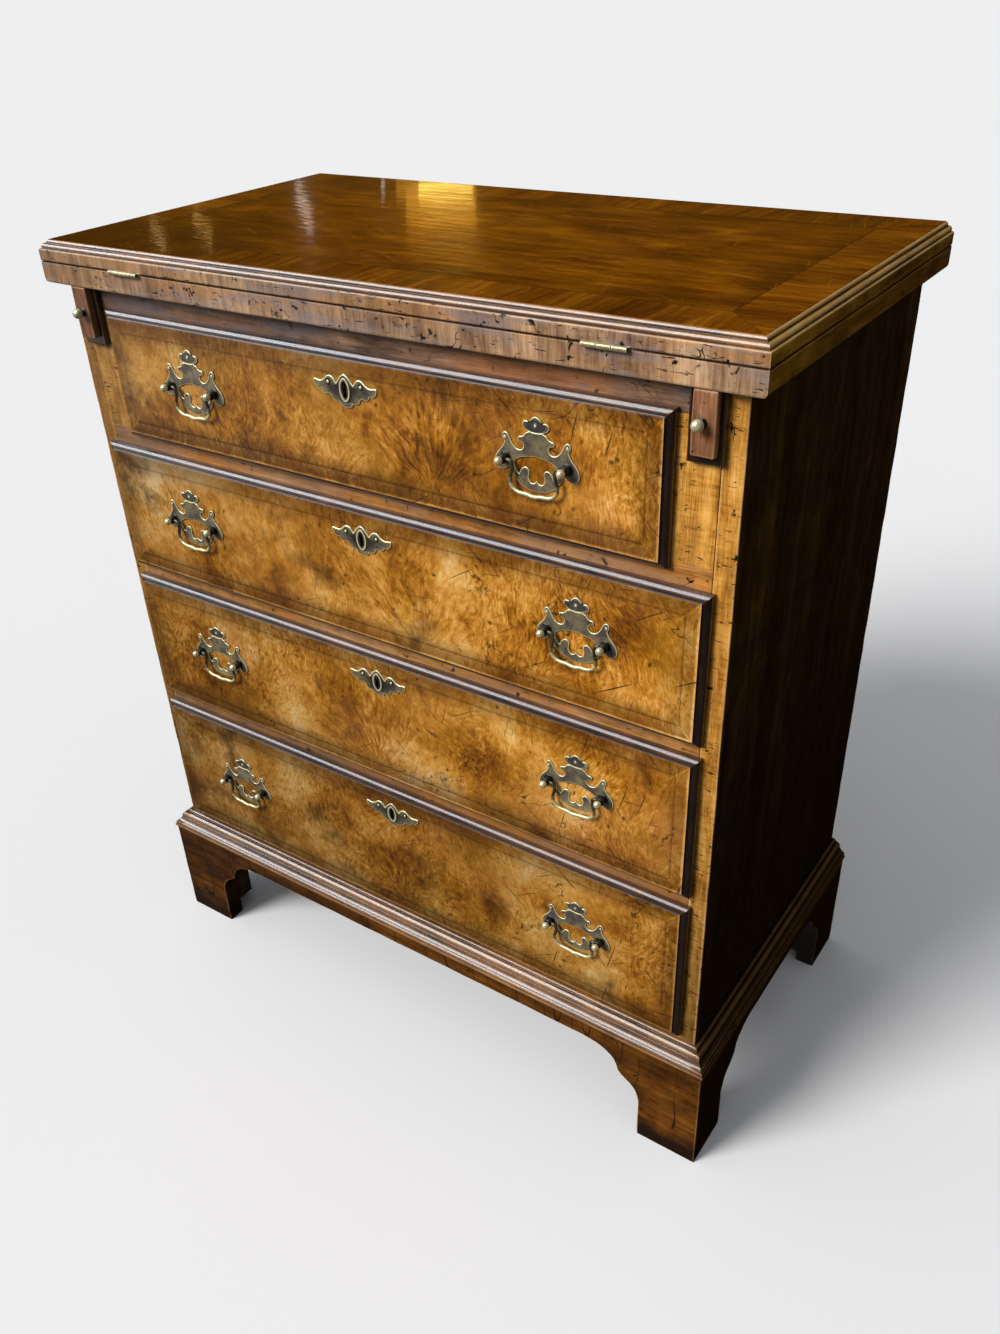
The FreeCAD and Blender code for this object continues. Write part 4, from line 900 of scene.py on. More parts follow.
def outline(runs, per=5):
    """A half outline mirrored about x = 0, as one closed loop."""
    half = []
    for run in runs:
        half += spline_run(run, per)
    half.append(runs[-1][-1])
    other = [(-a, b) for a, b in reversed(half[1:-1])]
    return half + other


def inward(loop, d, hole=False):
    """The loop moved into the material by d."""
    n = len(loop)
    area = sum(loop[i][0] * loop[(i + 1) % n][1] -
               loop[(i + 1) % n][0] * loop[i][1] for i in range(n))
    sign = 1.0 if area > 0 else -1.0
    if hole:
        sign = -sign
    out = []
    for i in range(n):
        p, q, r = loop[i - 1], loop[i], loop[(i + 1) % n]
        e1 = Vector((q[0] - p[0], q[1] - p[1]))
        e2 = Vector((r[0] - q[0], r[1] - q[1]))
        e1.normalize()
        e2.normalize()
        n1 = Vector((-e1.y, e1.x)) * sign
        n2 = Vector((-e2.y, e2.x)) * sign
        m = n1 + n2
        if m.length < 1e-6:
            m = n1.copy()
        m.normalize()
        k = max(m.dot(n1), 0.62)
        out.append((q[0] + m.x * d / k, q[1] + m.y * d / k))
    return out


def rim_rows(s, loop, prof, cx, cy, cz, hole=False, mat=0):
    """Rows of a moulded edge: (inset, height out, wear)."""
    rows = []
    for d, h, e in prof:
        moved = inward(loop, d, hole) if d else loop
        rows.append([s.pt(cx + a, cy - h, cz + b, e) for a, b in moved])
    s.loops(rows, mat)
    return rows


def fill(s, rows, mat=0):
    """Triangles over the flat between loops of points."""
    polys = [[Vector(s.pts[i]) for i in row] for row in rows]
    flat = [i for row in rows for i in row]
    for tri in tessellate_polygon(polys):
        s.face([flat[k] for k in tri], mat)


def tube(s, path, radii, turn=12, mat=0, wear=None):
    """A round wire along points (x, y, z) with its ends closed."""
    pts = [Vector(p) for p in path]
    rows = []
    side = Vector((0, 1, 0))
    for i, p in enumerate(pts):
        d = pts[min(i + 1, len(pts) - 1)] - pts[max(i - 1, 0)]
        d.normalize()
        up = d.cross(side).normalized()
        sd = up.cross(d).normalized()
        row = []
        for k in range(turn):
            t = 2 * math.pi * k / turn
            q = p + (up * math.cos(t) + sd * math.sin(t)) * radii[i]
            row.append(s.pt(q.x, q.y, q.z, wear[i] if wear else 0.0))
        rows.append(row)
    s.loops(rows, mat)
    s.face(rows[0][::-1], mat)
    s.face(rows[-1], mat)


# ------------------------------------------------------------ top leaves
TOP_EDGE = [(0.0, 8.2, 0.2), (0.25, 7.6, 0.9), (0.9, 7.2, 1.0),
            (2.0, 7.1, -0.2), (2.5, 6.8, -1.0), (2.1, 6.3, -0.5),
            (2.0, 5.6, 0.6), (2.25, 4.7, 0.9), (2.8, 3.9, 0.9),
            (3.6, 3.3, 0.5), (4.5, 3.1, -0.5), (5.5, 3.1, -1.0),
            (5.7, 2.95, -1.0), (5.7, 2.4, 0.1), (5.95, 1.45, 0.7),
            (6.5, 0.75, 1.0), (7.3, 0.2, 0.7), (8.2, 0.0, 0.2),
            (9.6, 0.0, 0.0)]
LX, LY0, LY1 = 341.0, -13.0, 351.0


def leaf_ring(inset, z, e, back=0.0, r=0.05):
    return (-LX + inset, LX - inset, LY0 + inset, LY1 - back, z, e, r, 0.0)


def mortise(low):
    z = (761.1, 764.0) if low else (761.0, 763.9)
    return [((x - 17, -15.2, z[0]), (x + 17, 8, z[1])) for x in (-230, 230)]


top = Shell()
rings = [leaf_ring(1.9, 762.7, -1.0, 1.6), leaf_ring(0.7, 762.7, -1.0, 0.4),
         leaf_ring(0.2, 762.95, -1.0, 0.1), leaf_ring(0.0, 763.4, -0.5),
         leaf_ring(0.0, 764.2, 0.0), leaf_ring(0.0, 770.6, 0.0)]
rings += [leaf_ring(i, 780.0 - d, e, 0.0 if i < 8 else (i - 8.2) * 0.7 + 0.3)
          for i, d, e in TOP_EDGE]


def leaf_mat(i, side):
    if i == 0:
        return 4
    if i >= 5 + len(TOP_EDGE) - 2:
        return 0
    if i >= 8:
        return (1, 2, 1, 2)[side] if side != 2 else 3
    return (5, 6, 3, 6)[side]


stack(top, rings, PLACE["z"], 62, 34, leaf_mat, (4, 0), 0, 1.0)
build(top, "top_leaf_upper",
      ["top", "mould_X", "ends_Y", "side_X", "under", "tan_X", "ends_Y"],
      "top_leaf", ["folding_top"], cuts=mortise(False),
      wear=0.14, sharp=38, freq=45.0)

low = Shell()
arc = []
for k in range(7):
    t = math.radians(15.0 * k)
    arc.append((4.0 * (1 - math.sin(t)), 4.0 * (1 - math.cos(t))))
rings = [(-LX + 6.5, LX - 6.5, LY0 + 2.4, LY1 - 2.4, 744.5, 0.0, 0.05, 0.0)]
for k, (ix, dz) in enumerate(arc):
    f = max(0.0, 0.8 - dz) if dz < 0.8 else 0.0
    e = 1.0 if dz < 0.8 else 0.25
    rings.append((-LX + ix, LX - ix, LY0 + f, LY1 - f * 0.5, 744.5 + dz, e,
                  0.05, 0.0))
rings += [leaf_ring(0.0, 750.0, 0.0), leaf_ring(0.0, 760.4, 0.0),
          leaf_ring(0.0, 761.4, 0.5), leaf_ring(0.2, 762.0, -0.9),
          leaf_ring(0.7, 762.3, -1.0, 0.4), leaf_ring(1.9, 762.3, -1.0, 1.6)]


def low_mat(i, side):
    if i >= len(rings) - 2:
        return 0
    if i == 0:
        return 4
    return (1, 2, 3, 2)[side]


stack(low, rings, PLACE["z"], 62, 34, low_mat, (4, 0), 0, 1.0)
build(low, "top_leaf_lower",
      ["under", "tan_X", "ends_Y", "side_X", "pine_X"], "carcass",
      ["fixed_top"], cuts=mortise(True), wear=0.18, sharp=38,
      freq=60.0)

# ------------------------------------------------------------------ case
for word, s in (("left", -1.0), ("right", 1.0)):
    g = Shell()
    x0, x1 = (309.0, 326.0) if s > 0 else (-326.0, -309.0)
    block(g, (x0, 0, 121), (x1, 341, 744.5), "x", 1.1, 16.0, sup=1.6)

    def paint(c, n, m, s=s):
        if n.y < -0.6:
            return 0
        if n.y > 0.7 or n.x * s < -0.5:
            return 2
        return 1
    cut = [((x0 - 1 if s > 0 else -317.0, 330, 120),
            (317.0 if s > 0 else x1 + 1, 342, 745))]
    build(g, "case_side_" + word, ["gold_Z", "side_Z", "oak_Z"], "carcass",
          ["side_panel_" + word], cuts=cut, wear=0.55,
          paint=paint, sharp=40, freq=120.0)


def front_face(c, n, m):
    return 0 if n.y < -0.35 else 1


g = Shell()
block(g, (-290, 0, 722.5), (290, 60, 744.5), "y", 0.3, 18.0, e=0.0)
build(g, "case_top_rail", ["shadow_X", "oak_X"], "carcass",
      ["top_rail"], paint=front_face, wear=0.2)
g = Shell()
for z0, z1 in ((303.5, 323.5), (456, 476), (596, 616)):
    block(g, (-309, 0, z0), (309, 60, z1), "y", 0.3, 18.0, e=0.0)
build(g, "case_rails", ["rail_X", "oak_X"], "carcass",
      ["drawer_dividers"], paint=front_face, wear=0.3)
g = Shell()
for s in (-1, 1):
    a, b = sorted((s * 274.0, s * 290.0))
    block(g, (a, 0, 616), (b, 60, 722.5), "y", 0.3, 16.0, e=0.0)
    block(g, (a, 60, 616), (b, 330, 744.5), "x", 0.5, 40.0)
build(g, "case_partitions", ["gold_Z", "oak_Y"], "carcass",
      ["loper_partitions"], paint=front_face, wear=0.3)
g = Shell()
for s in (-1, 1):
    a, b = sorted((s * 290.0, s * 309.0))
    block(g, (a, 0, 616), (b, 30, 696.4), "y", 0.3, 16.0, e=0.0)
    block(g, (a, 30, 674.4), (b, 325, 696.4), "z", 0.5, 40.0)
    lathe(g, [(2.4, 0, 0.5), (3.0, 0.5, 0.5), (3.0, 17.6, 0.5),
              (2.2, 18.5, 0.8)], s * 299.5, 44, 684.4, 16, "z", 2)
build(g, "loper_beds", ["gold_Z", "oak_Y", "oak_Z"], "carcass",
      ["loper_runners_and_pegs"],
      paint=lambda c, n, m: m if m == 2 else (0 if n.y < -0.35 else 1),
      wear=0.2)

# -------------------------------------------------------- plinth moulding
PLINTH = [(0.0, 0.0, 0.0), (1.2, 0.0, 0.2), (2.6, 0.2, 0.8), (3.6, 0.9, 1.0),
          (4.05, 1.9, 0.3), (4.1, 2.6, -1.0), (4.3, 2.8, -1.0),
          (5.4, 2.9, 0.1), (6.9, 3.4, 0.7), (8.3, 4.4, 1.0),
          (9.3, 5.8, 0.8), (9.7, 7.3, 0.4), (9.5, 8.6, -0.3),
          (9.0, 9.3, -1.0), (9.3, 9.5, -0.9), (10.2, 9.7, 0.3),
          (11.0, 11.2, 0.3), (12.2, 12.7, 0.4), (13.5, 13.6, 0.7),
          (13.8, 13.7, 0.9), (13.8, 14.3, -1.0), (14.0, 14.45, -1.0),
          (14.9, 14.6, 0.3), (15.7, 15.4, 0.9), (15.9, 16.4, 0.9),
          (15.6, 17.2, 0.2), (15.0, 17.7, -1.0), (15.3, 17.85, -0.9),
          (16.2, 18.0, 0.3), (16.8, 18.8, 1.0), (17.0, 19.8, 0.9),
          (16.8, 20.8, 0.6), (16.2, 21.6, 0.2), (15.8, 22.6, -0.6),
          (15.6, 23.0, -0.8), (0.0, 23.0, 0.0)]
g = Shell()
cols = []
steps = [("L", k / 26.0) for k in range(26)] + \
        [("F", k / 52.0) for k in range(52)] + \
        [("R", k / 26.0) for k in range(27)]
for side_, f in steps:
    col = []
    for out, drop, e in PLINTH:
        x, y0 = 326.0 + out, -out
        if side_ == "L":
            p = (-x, 341.0 + (y0 - 341.0) * f)
        elif side_ == "F":
            p = (-x + 2 * x * f, y0)
        else:
            p = (x, y0 + (341.0 - y0) * f)
        col.append(g.pt(p[0], p[1], 144.0 - drop, e))
    cols.append(col)
for i in range(len(cols) - 1):
    a, b = cols[i], cols[i + 1]
    # the right return takes the dark side walnut, painted shade; the left
    # return keeps the moulding's colour
    m = 1 if steps[i][0] == "L" else 0 if steps[i][0] == "F" else 2
    n = len(a)
    for j in range(n):
        k = (j + 1) % n
        g.face((a[j], a[k], b[k], b[j]), m)
g.face(cols[0], 1)
g.face(cols[-1][::-1], 1)
build(g, "plinth_mould", ["mould_X", "mould_Y", "side_Y"], "carcass",
      ["plinth_moulding"], wear=0.14, sharp=40,
      freq=45.0)

# ---------------------------------------------------------- bracket feet
SCROLL = [(0.0, 0.0), (0.0, 48.0), (1.2, 54.5), (3.8, 61.0), (7.8, 66.6),
          (13.0, 71.0), (18.6, 74.6), (22.6, 78.2), (24.6, 83.4),
          (26.6, 88.8), (30.2, 93.8), (35.8, 98.0), (42.6, 101.2),
          (50.4, 103.6), (60.0, 104.8), (68.0, 105.0)]


def scroll(per=3):
    up = [(0.0, v) for v in (0.0, 0.9, 12.0, 24.0, 36.0)]
    first = spline_run(SCROLL[1:7] + [SCROLL[7]], per)
    second = spline_run(SCROLL[7:], per)
    return up + first + second + [SCROLL[-1]]


def foot_board(s, half_out, foot, place, mitre0, mitre1, mats=(0, 0)):
    """A fascia with a scroll at each end. place(u, depth, z)."""
    lo, hi = half_out
    run = scroll()
    loop = []
    for k in range(9):
        loop.append((hi, 121.0 * (1 - k / 8.0), 1.0))
    loop.append((hi - 1.5, 0.0, 0.6))
    loop += [(hi - foot + 8.0, 0.0, 0.6)]
    loop += [(hi - foot - a, b, 0.8) for a, b in run]
    span_ = (hi - foot - 68.0) - (lo + foot + 68.0)
    n = max(2, int(span_ / 22.0))
    for k in range(1, n):
        loop.append((hi - foot - 68.0 - span_ * k / n, 105.0, 0.8))
    loop += [(lo + foot + a, b, 0.8) for a, b in reversed(run)]
    loop += [(lo + foot - 8.0, 0.0, 0.6), (lo + 1.5, 0.0, 0.6)]
    for k in range(9):
        loop.append((lo, 121.0 * k / 8.0, 1.0))
    top_n = 20
    for k in range(1, top_n):
        loop.append((lo + (hi - lo) * k / top_n, 121.0, 0.0))
    flat = [(a, b) for a, b, w in loop]
    prof = [(2.0, 0.0, 0.0), (0.7, 0.0, 0.7), (0.35, 0.1, 1.0),
            (0.08, 0.35, 1.0), (0.0, 0.8, 0.7), (0.0, 2.2, 0.0),
            (0.0, 17.8, 0.0), (0.0, 19.4, 0.0), (0.5, 20.0, 0.0)]
    rows = []
    for d, deep, e in prof:
        moved = inward(flat, d) if d else flat
        row = []
        for (a, b), (fa, fb, w) in zip(moved, loop):
            u = a
            if fb > 120.5:
                b = 121.0
            if fa == hi:
                u = a - (deep if mitre1 else 0.0)
            if fa == lo:
                u = a + (deep if mitre0 else 0.0)
            row.append(s.pt(*place(u, deep, b), e * w))
        rows.append(row)
    s.loops(rows, mats[0])
    fill(s, [rows[0]], mats[0])
    fill(s, [rows[-1]], mats[1])


g = Shell()
foot_board(g, (-341.6, 341.6), 62.0, lambda u, d, z: (u, -15.6 + d, z),
           True, True, (0, 1))
build(g, "foot_front", ["brown_X", "grimy"], "carcass",
      ["bracket_front"], wear=0.7, sharp=40,
      paint=lambda c, n, m: 1 if n.y > 0.7 else m)
g = Shell()
foot_board(g, (-15.6, 341.0), 54.6, lambda u, d, z: (341.6 - d, u, z),
           True, False, (0, 0))
foot_board(g, (-15.6, 341.0), 54.6, lambda u, d, z: (-341.6 + d, u, z),
           True, False, (0, 0))
build(g, "foot_sides", ["side_Y", "grimy"], "carcass",
      ["bracket_sides"], wear=0.7, sharp=40,
      paint=lambda c, n, m: 1 if abs(n.x) > 0.7 and n.x * c.x < 0 else m)

# ---------------------------------------------------------------- lopers
for word, s in (("left", -1.0), ("right", 1.0)):
    g = Shell()

    def pairx(a, b, s=s):
        return sorted((s * a, s * b))
    a, b = pairx(290.6, 308.4)
    bar = Shell()
    block(bar, (a, -0.4, 697), (b, 325, 744.1), "x", 0.6, 26.0, mat=1)
    # the notch's walls hang from the bar's underside
    g.merge(bar)
    a, b = pairx(286.4, 312.6)
    block(g, (a, -5.4, 693), (b, -0.45, 744.1), "y", 0.9, 12.0, mat=0,
          sup=0.8)
    a, b = pairx(291.4, 309.0)
    block(g, (a, -12, 700), (b, -4.8, 744.1), "y", 1.1, 12.0, mat=2,
          sup=0.8)
    n0, n1 = pairx(295.5, 303.5)
    build(g, "loper_bar_" + word, ["lip_Z", "oak_Y", "tan_Z"],
          word + "_loper", ["loper_" + word],
          cuts=[((n0, 36, 696), (n1, 301, 706))], wear=0.35)
    k = Shell()
    prof = [(1.95, -12.0, 0), (1.95, 0.0, -1), (3.3, 0.0, -1),
            (3.7, 0.12, 0.3), (3.88, 0.55, 0.8), (3.6, 0.95, 0.4),
            (3.1, 1.25, 0), (2.4, 1.5, -0.8), (2.05, 1.8, -0.8),
            (2.0, 2.4, -0.6)]
    for t in range(0, 12):
        u = math.radians(32 + 148 * t / 12.0)
        prof.append((4.35 * math.sin(u), 6.4 - 4.35 * math.cos(u), 0.6))
    prof.append((0.3, 10.74, 0.6))
    # the knob's neck takes the near-black brass: painted shade
    lathe(k, prof, s * 299.0, -12.0, 722.9, 28,
          mat=[1] * 9 + [0] * 13)
    build(k, "loper_ball_" + word, ["brass_ball", "brass_painted_shade"],
          word + "_loper", ["loper_knob_" + word], sharp=50)

# --------------------------------------------------------------- drawers
ZONES = {1: (616.0, 722.5, 274.0), 2: (476.0, 596.0, 309.0),
         3: (323.5, 456.0, 309.0), 4: (156.0, 303.5, 309.0)}
PULL_X = {1: 174.0, 2: 207.0, 3: 207.0, 4: 207.0}
PULL_Z = {1: 674.7, 2: 542.5, 3: 398.1, 4: 236.4}
BORE = 2.4      # the posts sit this far below the plate's middle line
KEY_Z = {1: 697.5, 2: 571.5, 3: 431.8, 4: 280.5}
PLATE_OUT = [
    [(0, 31.2), (2.6, 30.2), (4.6, 28.0), (5.2, 26.2)],
    [(5.2, 26.2), (7.2, 27.3), (9.6, 27.0), (11.2, 24.8), (10.4, 22.2),
     (7.8, 20.4), (6.2, 19.4)],
    [(6.2, 19.4), (8.4, 18.6), (10.2, 16.6), (12.2, 15.4), (14.4, 15.0),
     (15.3, 13.0), (13.8, 11.2), (11.6, 11.0)],
    [(11.6, 11.0), (10.6, 9.2), (11.2, 6.8), (13.6, 5.2), (16.8, 5.8),
     (19.8, 8.6), (21.6, 11.6), (23.2, 14.6), (25.8, 16.4), (28.2, 15.0),
     (28.4, 12.0), (26.8, 9.4)],
    [(26.8, 9.4), (28.6, 5.6), (31.4, 2.2), (34.2, -1.4), (35.6, -5.4),
     (35.0, -9.4), (32.4, -11.8), (28.8, -12.2), (25.2, -10.6),
     (22.6, -8.6)],
    [(22.6, -8.6), (21.2, -12.4), (18.2, -16.8), (13.8, -20.8),
     (7.4, -23.6), (0, -24.6)],
]
PLATE_IN = [
    [(0, 1.8), (5.0, 1.2), (10.0, 0.2), (14.6, -1.4), (18.2, -3.6)],
    [(18.2, -3.6), (18.6, -6.6), (17.8, -9.6), (16.2, -11.8),
     (14.6, -12.6)],
    [(14.6, -12.6), (13.6, -10.2), (11.6, -7.8), (9.0, -6.9),
     (6.8, -8.0), (5.9, -10.6), (6.6, -13.4), (6.2, -16.2), (4.4, -18.2),
     (2.4, -18.0), (0, -15.6)],
]
KEY_OUT = [
    [(0, 13.2), (3.2, 11.4), (6.2, 8.2), (8.6, 5.4)],
    [(8.6, 5.4), (10.6, 8.2), (13.4, 10.0), (16.0, 10.2), (18.8, 8.8),
     (21.8, 6.4), (25.6, 5.2), (29.2, 5.8), (31.6, 5.6)],
    [(31.6, 5.6), (31.4, 2.2), (29.4, -0.8), (26.4, -2.2), (24.2, -1.8)],
    [(24.2, -1.8), (22.8, -4.2), (19.8, -5.2), (16.8, -4.6),
     (14.8, -5.6)],
    [(14.8, -5.6), (13.2, -8.4), (10.2, -9.8), (6.8, -9.8)],
    [(6.8, -9.8), (6.0, -11.8), (3.4, -13.2), (0, -13.6)],
]
plate = Shell()
outer_loop, inner_loop = outline(PLATE_OUT, 4), outline(PLATE_IN, 4)
RIM = [(0.0, 0.0, -0.9), (0.0, 0.5, 0.1), (0.08, 0.85, 0.9),
       (0.25, 1.12, 1.0), (0.55, 1.27, 0.85), (0.8, 1.3, 0.3),
       (1.1, 1.28, -0.2), (1.6, 1.24, 0.0)]
a = rim_rows(plate, outer_loop, RIM, 0, 0, 0)
b = rim_rows(plate, inner_loop, RIM, 0, 0, 0, True)
fill(plate, [a[-1], b[-1]])
fill(plate, [a[0], b[0]])
# the crown's dish with its boss, a ridge below it, and small rivets
rows = []
for rx, rz, h, e in ((7.9, 3.9, 0.0, -0.9), (7.8, 3.8, 0.05, -0.7),
                     (7.2, 3.4, 0.02, -0.2), (3.0, 2.6, 0.02, 0.0)):
    rows.append([plate.pt(rx * math.cos(2 * math.pi * k / 28), -1.28 - h,
                          24.4 + rz * math.sin(2 * math.pi * k / 28), e)
                 for k in range(28)])
plate.loops(rows, 1)
plate.face(rows[0][::-1], 1)
plate.face(rows[-1], 1)
ring = [(2.3, 0.0, -0.9), (2.3, 0.16, -0.4), (2.0, 0.34, 0.5),
        (1.7, 0.3, -0.6), (1.3, 0.25, -0.8), (1.1, 0.5, 0.7),
        (0.6, 0.72, 1.0), (0.1, 0.76, 1.0)]
lathe(plate, ring, 0, -1.28, 24.6, 18)
bow = []
for k in range(13):
    a_ = -1.0 + k / 6.0
    bow.append((a_ * 6.6, -1.3, 19.2 + 0.8 * a_ * a_))
tube(plate, bow, [0.30] + [0.52] * 11 + [0.30], 8, 0, [0.9] * 13)
for sx in (-26.0, 26.0):
    lathe(plate, [(1.5, 0.0, -0.9), (1.4, 0.2, 0.2), (1.0, 0.4, 0.9),
                  (0.1, 0.46, 0.9)], sx, -1.28, 12.6, 14)

key = Shell()
loop = outline(KEY_OUT, 4)
krim = [(0.0, 0.0, -0.8), (0.0, 0.6, 0.6), (0.2, 0.95, 1.0),
        (0.55, 1.2, 1.0), (0.9, 1.3, 0.5), (1.2, 1.28, -0.1)]
a = rim_rows(key, loop, krim, 0, 0, 0)
oval = [(5.6 * math.sin(t), 0.6 + 9.6 * math.cos(t))
        for t in [2 * math.pi * k / 40 for k in range(40)]]
hole = []
for k in range(13):
    t = math.radians(-39.1 + (180 + 2 * 39.1) * k / 12.0)
    hole.append((2.3 * math.cos(t), 4.4 + 2.3 * math.sin(t)))
hole += [(-1.45, -0.4), (-1.45, -5.4), (1.45, -5.4), (1.45, -0.4)]
orim = [(0.0, 1.24, -0.7), (0.05, 1.6, 0.0), (0.35, 1.9, 0.5),
        (0.8, 2.0, 0.8), (1.3, 1.92, 0.7), (1.8, 1.78, 0.3),
        (2.4, 1.7, -0.3), (2.75, 1.66, -1.0)]
o = rim_rows(key, oval, orim, 0, 0, 0)
fill(key, [a[-1], o[0]])
h = rim_rows(key, hole, [(0.0, 0.0, -1.0), (0.0, 1.5, -0.6),
                         (0.15, 1.64, -1.0)], 0, 0, 0, True, 1)
# the flat inside the oval rim is painted black: painted shade of the keyhole
fill(key, [o[-1], h[-1]], 1)
fill(key, [a[0], h[0]])
for sx in (-16.4, 16.4):
    lathe(key, [(2.7, 0.0, -0.8), (2.6, 0.12, -0.9), (1.45, 0.12, -1.0),
                (1.4, 0.3, 0.2), (1.2, 0.6, 0.9), (0.7, 0.82, 1.0),
                (0.1, 0.9, 1.0)], sx, -1.24, 5.0, 16)

post = Shell()
BY = 10.7
pprof = [(1.95, -24.0, 0), (1.95, 1.25, 0), (4.2, 1.28, -0.8),
         (4.5, 1.5, 0.3), (4.58, 1.85, 0.8), (4.3, 2.2, 0.3),
         (3.7, 2.5, -0.3), (3.2, 2.75, -0.9), (3.3, 3.05, -0.6),
         (3.58, 3.35, 0.3), (3.68, 3.9, 0.4), (3.7, 5.4, 0.3),
         (3.68, 6.9, 0.4), (3.45, 7.4, 0.4), (2.9, 7.85, -0.4),
         (2.25, 8.1, -0.9)]
# the post below the ball takes the near-black brass: painted shade
n_dark = len(pprof) - 1
for k in range(0, 12):
    t = math.radians(42 + 138 * k / 12.0)
    pprof.append((3.3 * math.sin(t), BY - 3.3 * math.cos(t), 0.6))
pprof.append((0.25, BY + 3.29, 0.6))
lathe(post, pprof, 0, 0, 0, 24, mat=[1] * n_dark + [0] * 13)
nut = [(2.0, -25.0, -0.5), (3.9, -25.0, 0.6), (4.2, -24.6, 0.8),
       (4.2, -22.4, 0.8), (3.9, -22.02, 0.3), (2.0, -22.02, 0)]
lathe(post, nut, 0, 0, 0, 12, mat=0)


def bspline(poles, count):
    """Clamped cubic through its control points."""
    n, d = len(poles), 3
    knots = [0.0] * d + [i / (n - d) for i in range(n - d + 1)] + [1.0] * d
    out = []
    for q in range(count + 1):
        u = min(q / count, 1 - 1e-9)
        k = max(i for i in range(d, n) if knots[i] <= u)
        pts = [list(poles[j + k - d]) for j in range(d + 1)]
        for r in range(1, d + 1):
            for j in range(d, r - 1, -1):
                i0 = j + k - d
                w = (u - knots[i0]) / (knots[j + 1 + k - r] - knots[i0])
                pts[j] = [(1 - w) * pts[j - 1][c] + w * pts[j][c]
                          for c in (0, 1)]
        out.append(tuple(pts[d]))
    return out


BAIL = [(22.0, 0.0), (20.8, 0.0), (19.3, -0.2), (18.2, -1.9), (18.0, -5.4),
        (18.8, -9.6), (20.4, -13.6), (19.4, -19.6), (13.0, -23.6),
        (6.0, -22.6), (0.0, -24.9)]
bail = Shell()
path2 = bspline(BAIL + [(-a, b) for a, b in reversed(BAIL[:-1])], 96)
radii, warm = [], []
for x, z in path2:
    mid = math.exp(-(x / 6.2) ** 2)
    collar = math.exp(-((abs(x) - 7.4) / 0.9) ** 2) if z < -18 else 0.0
    r = 1.44 + 0.16 * mid * (1 if z < -15 else 0) + 0.12 * collar
    radii.append(min(r, 1.6))
    # these wear values paint light on the bail's lower bar and shade on its
    # arms
    warm.append(0.85 if z < -17 else (0.35 if z < -12 else -0.30))
tube(bail, [(x, 0, z) for x, z in path2], radii, 14, 0, warm)
for s in (-1, 1):
    tube(bail, [(s * (21.3 + 0.4 * k), 0, 0) for k in range(11)],
         [1.1 + 0.2 * min(k, 1) - (0.25 if k == 10 else 0)
          for k in range(11)], 12, 0, [0.0] * 11)



def throat(c, kz):
    """The walls of a keyhole are painted black: painted shade inside the hole.
    """
    if abs(c.x) < 0.0016 and -9.9 < c.y * 1000.0 - FRONT < 3.9 and \
            abs(c.z * 1000.0 - kz - 0.5) < 6.2:
        return 4
    return None


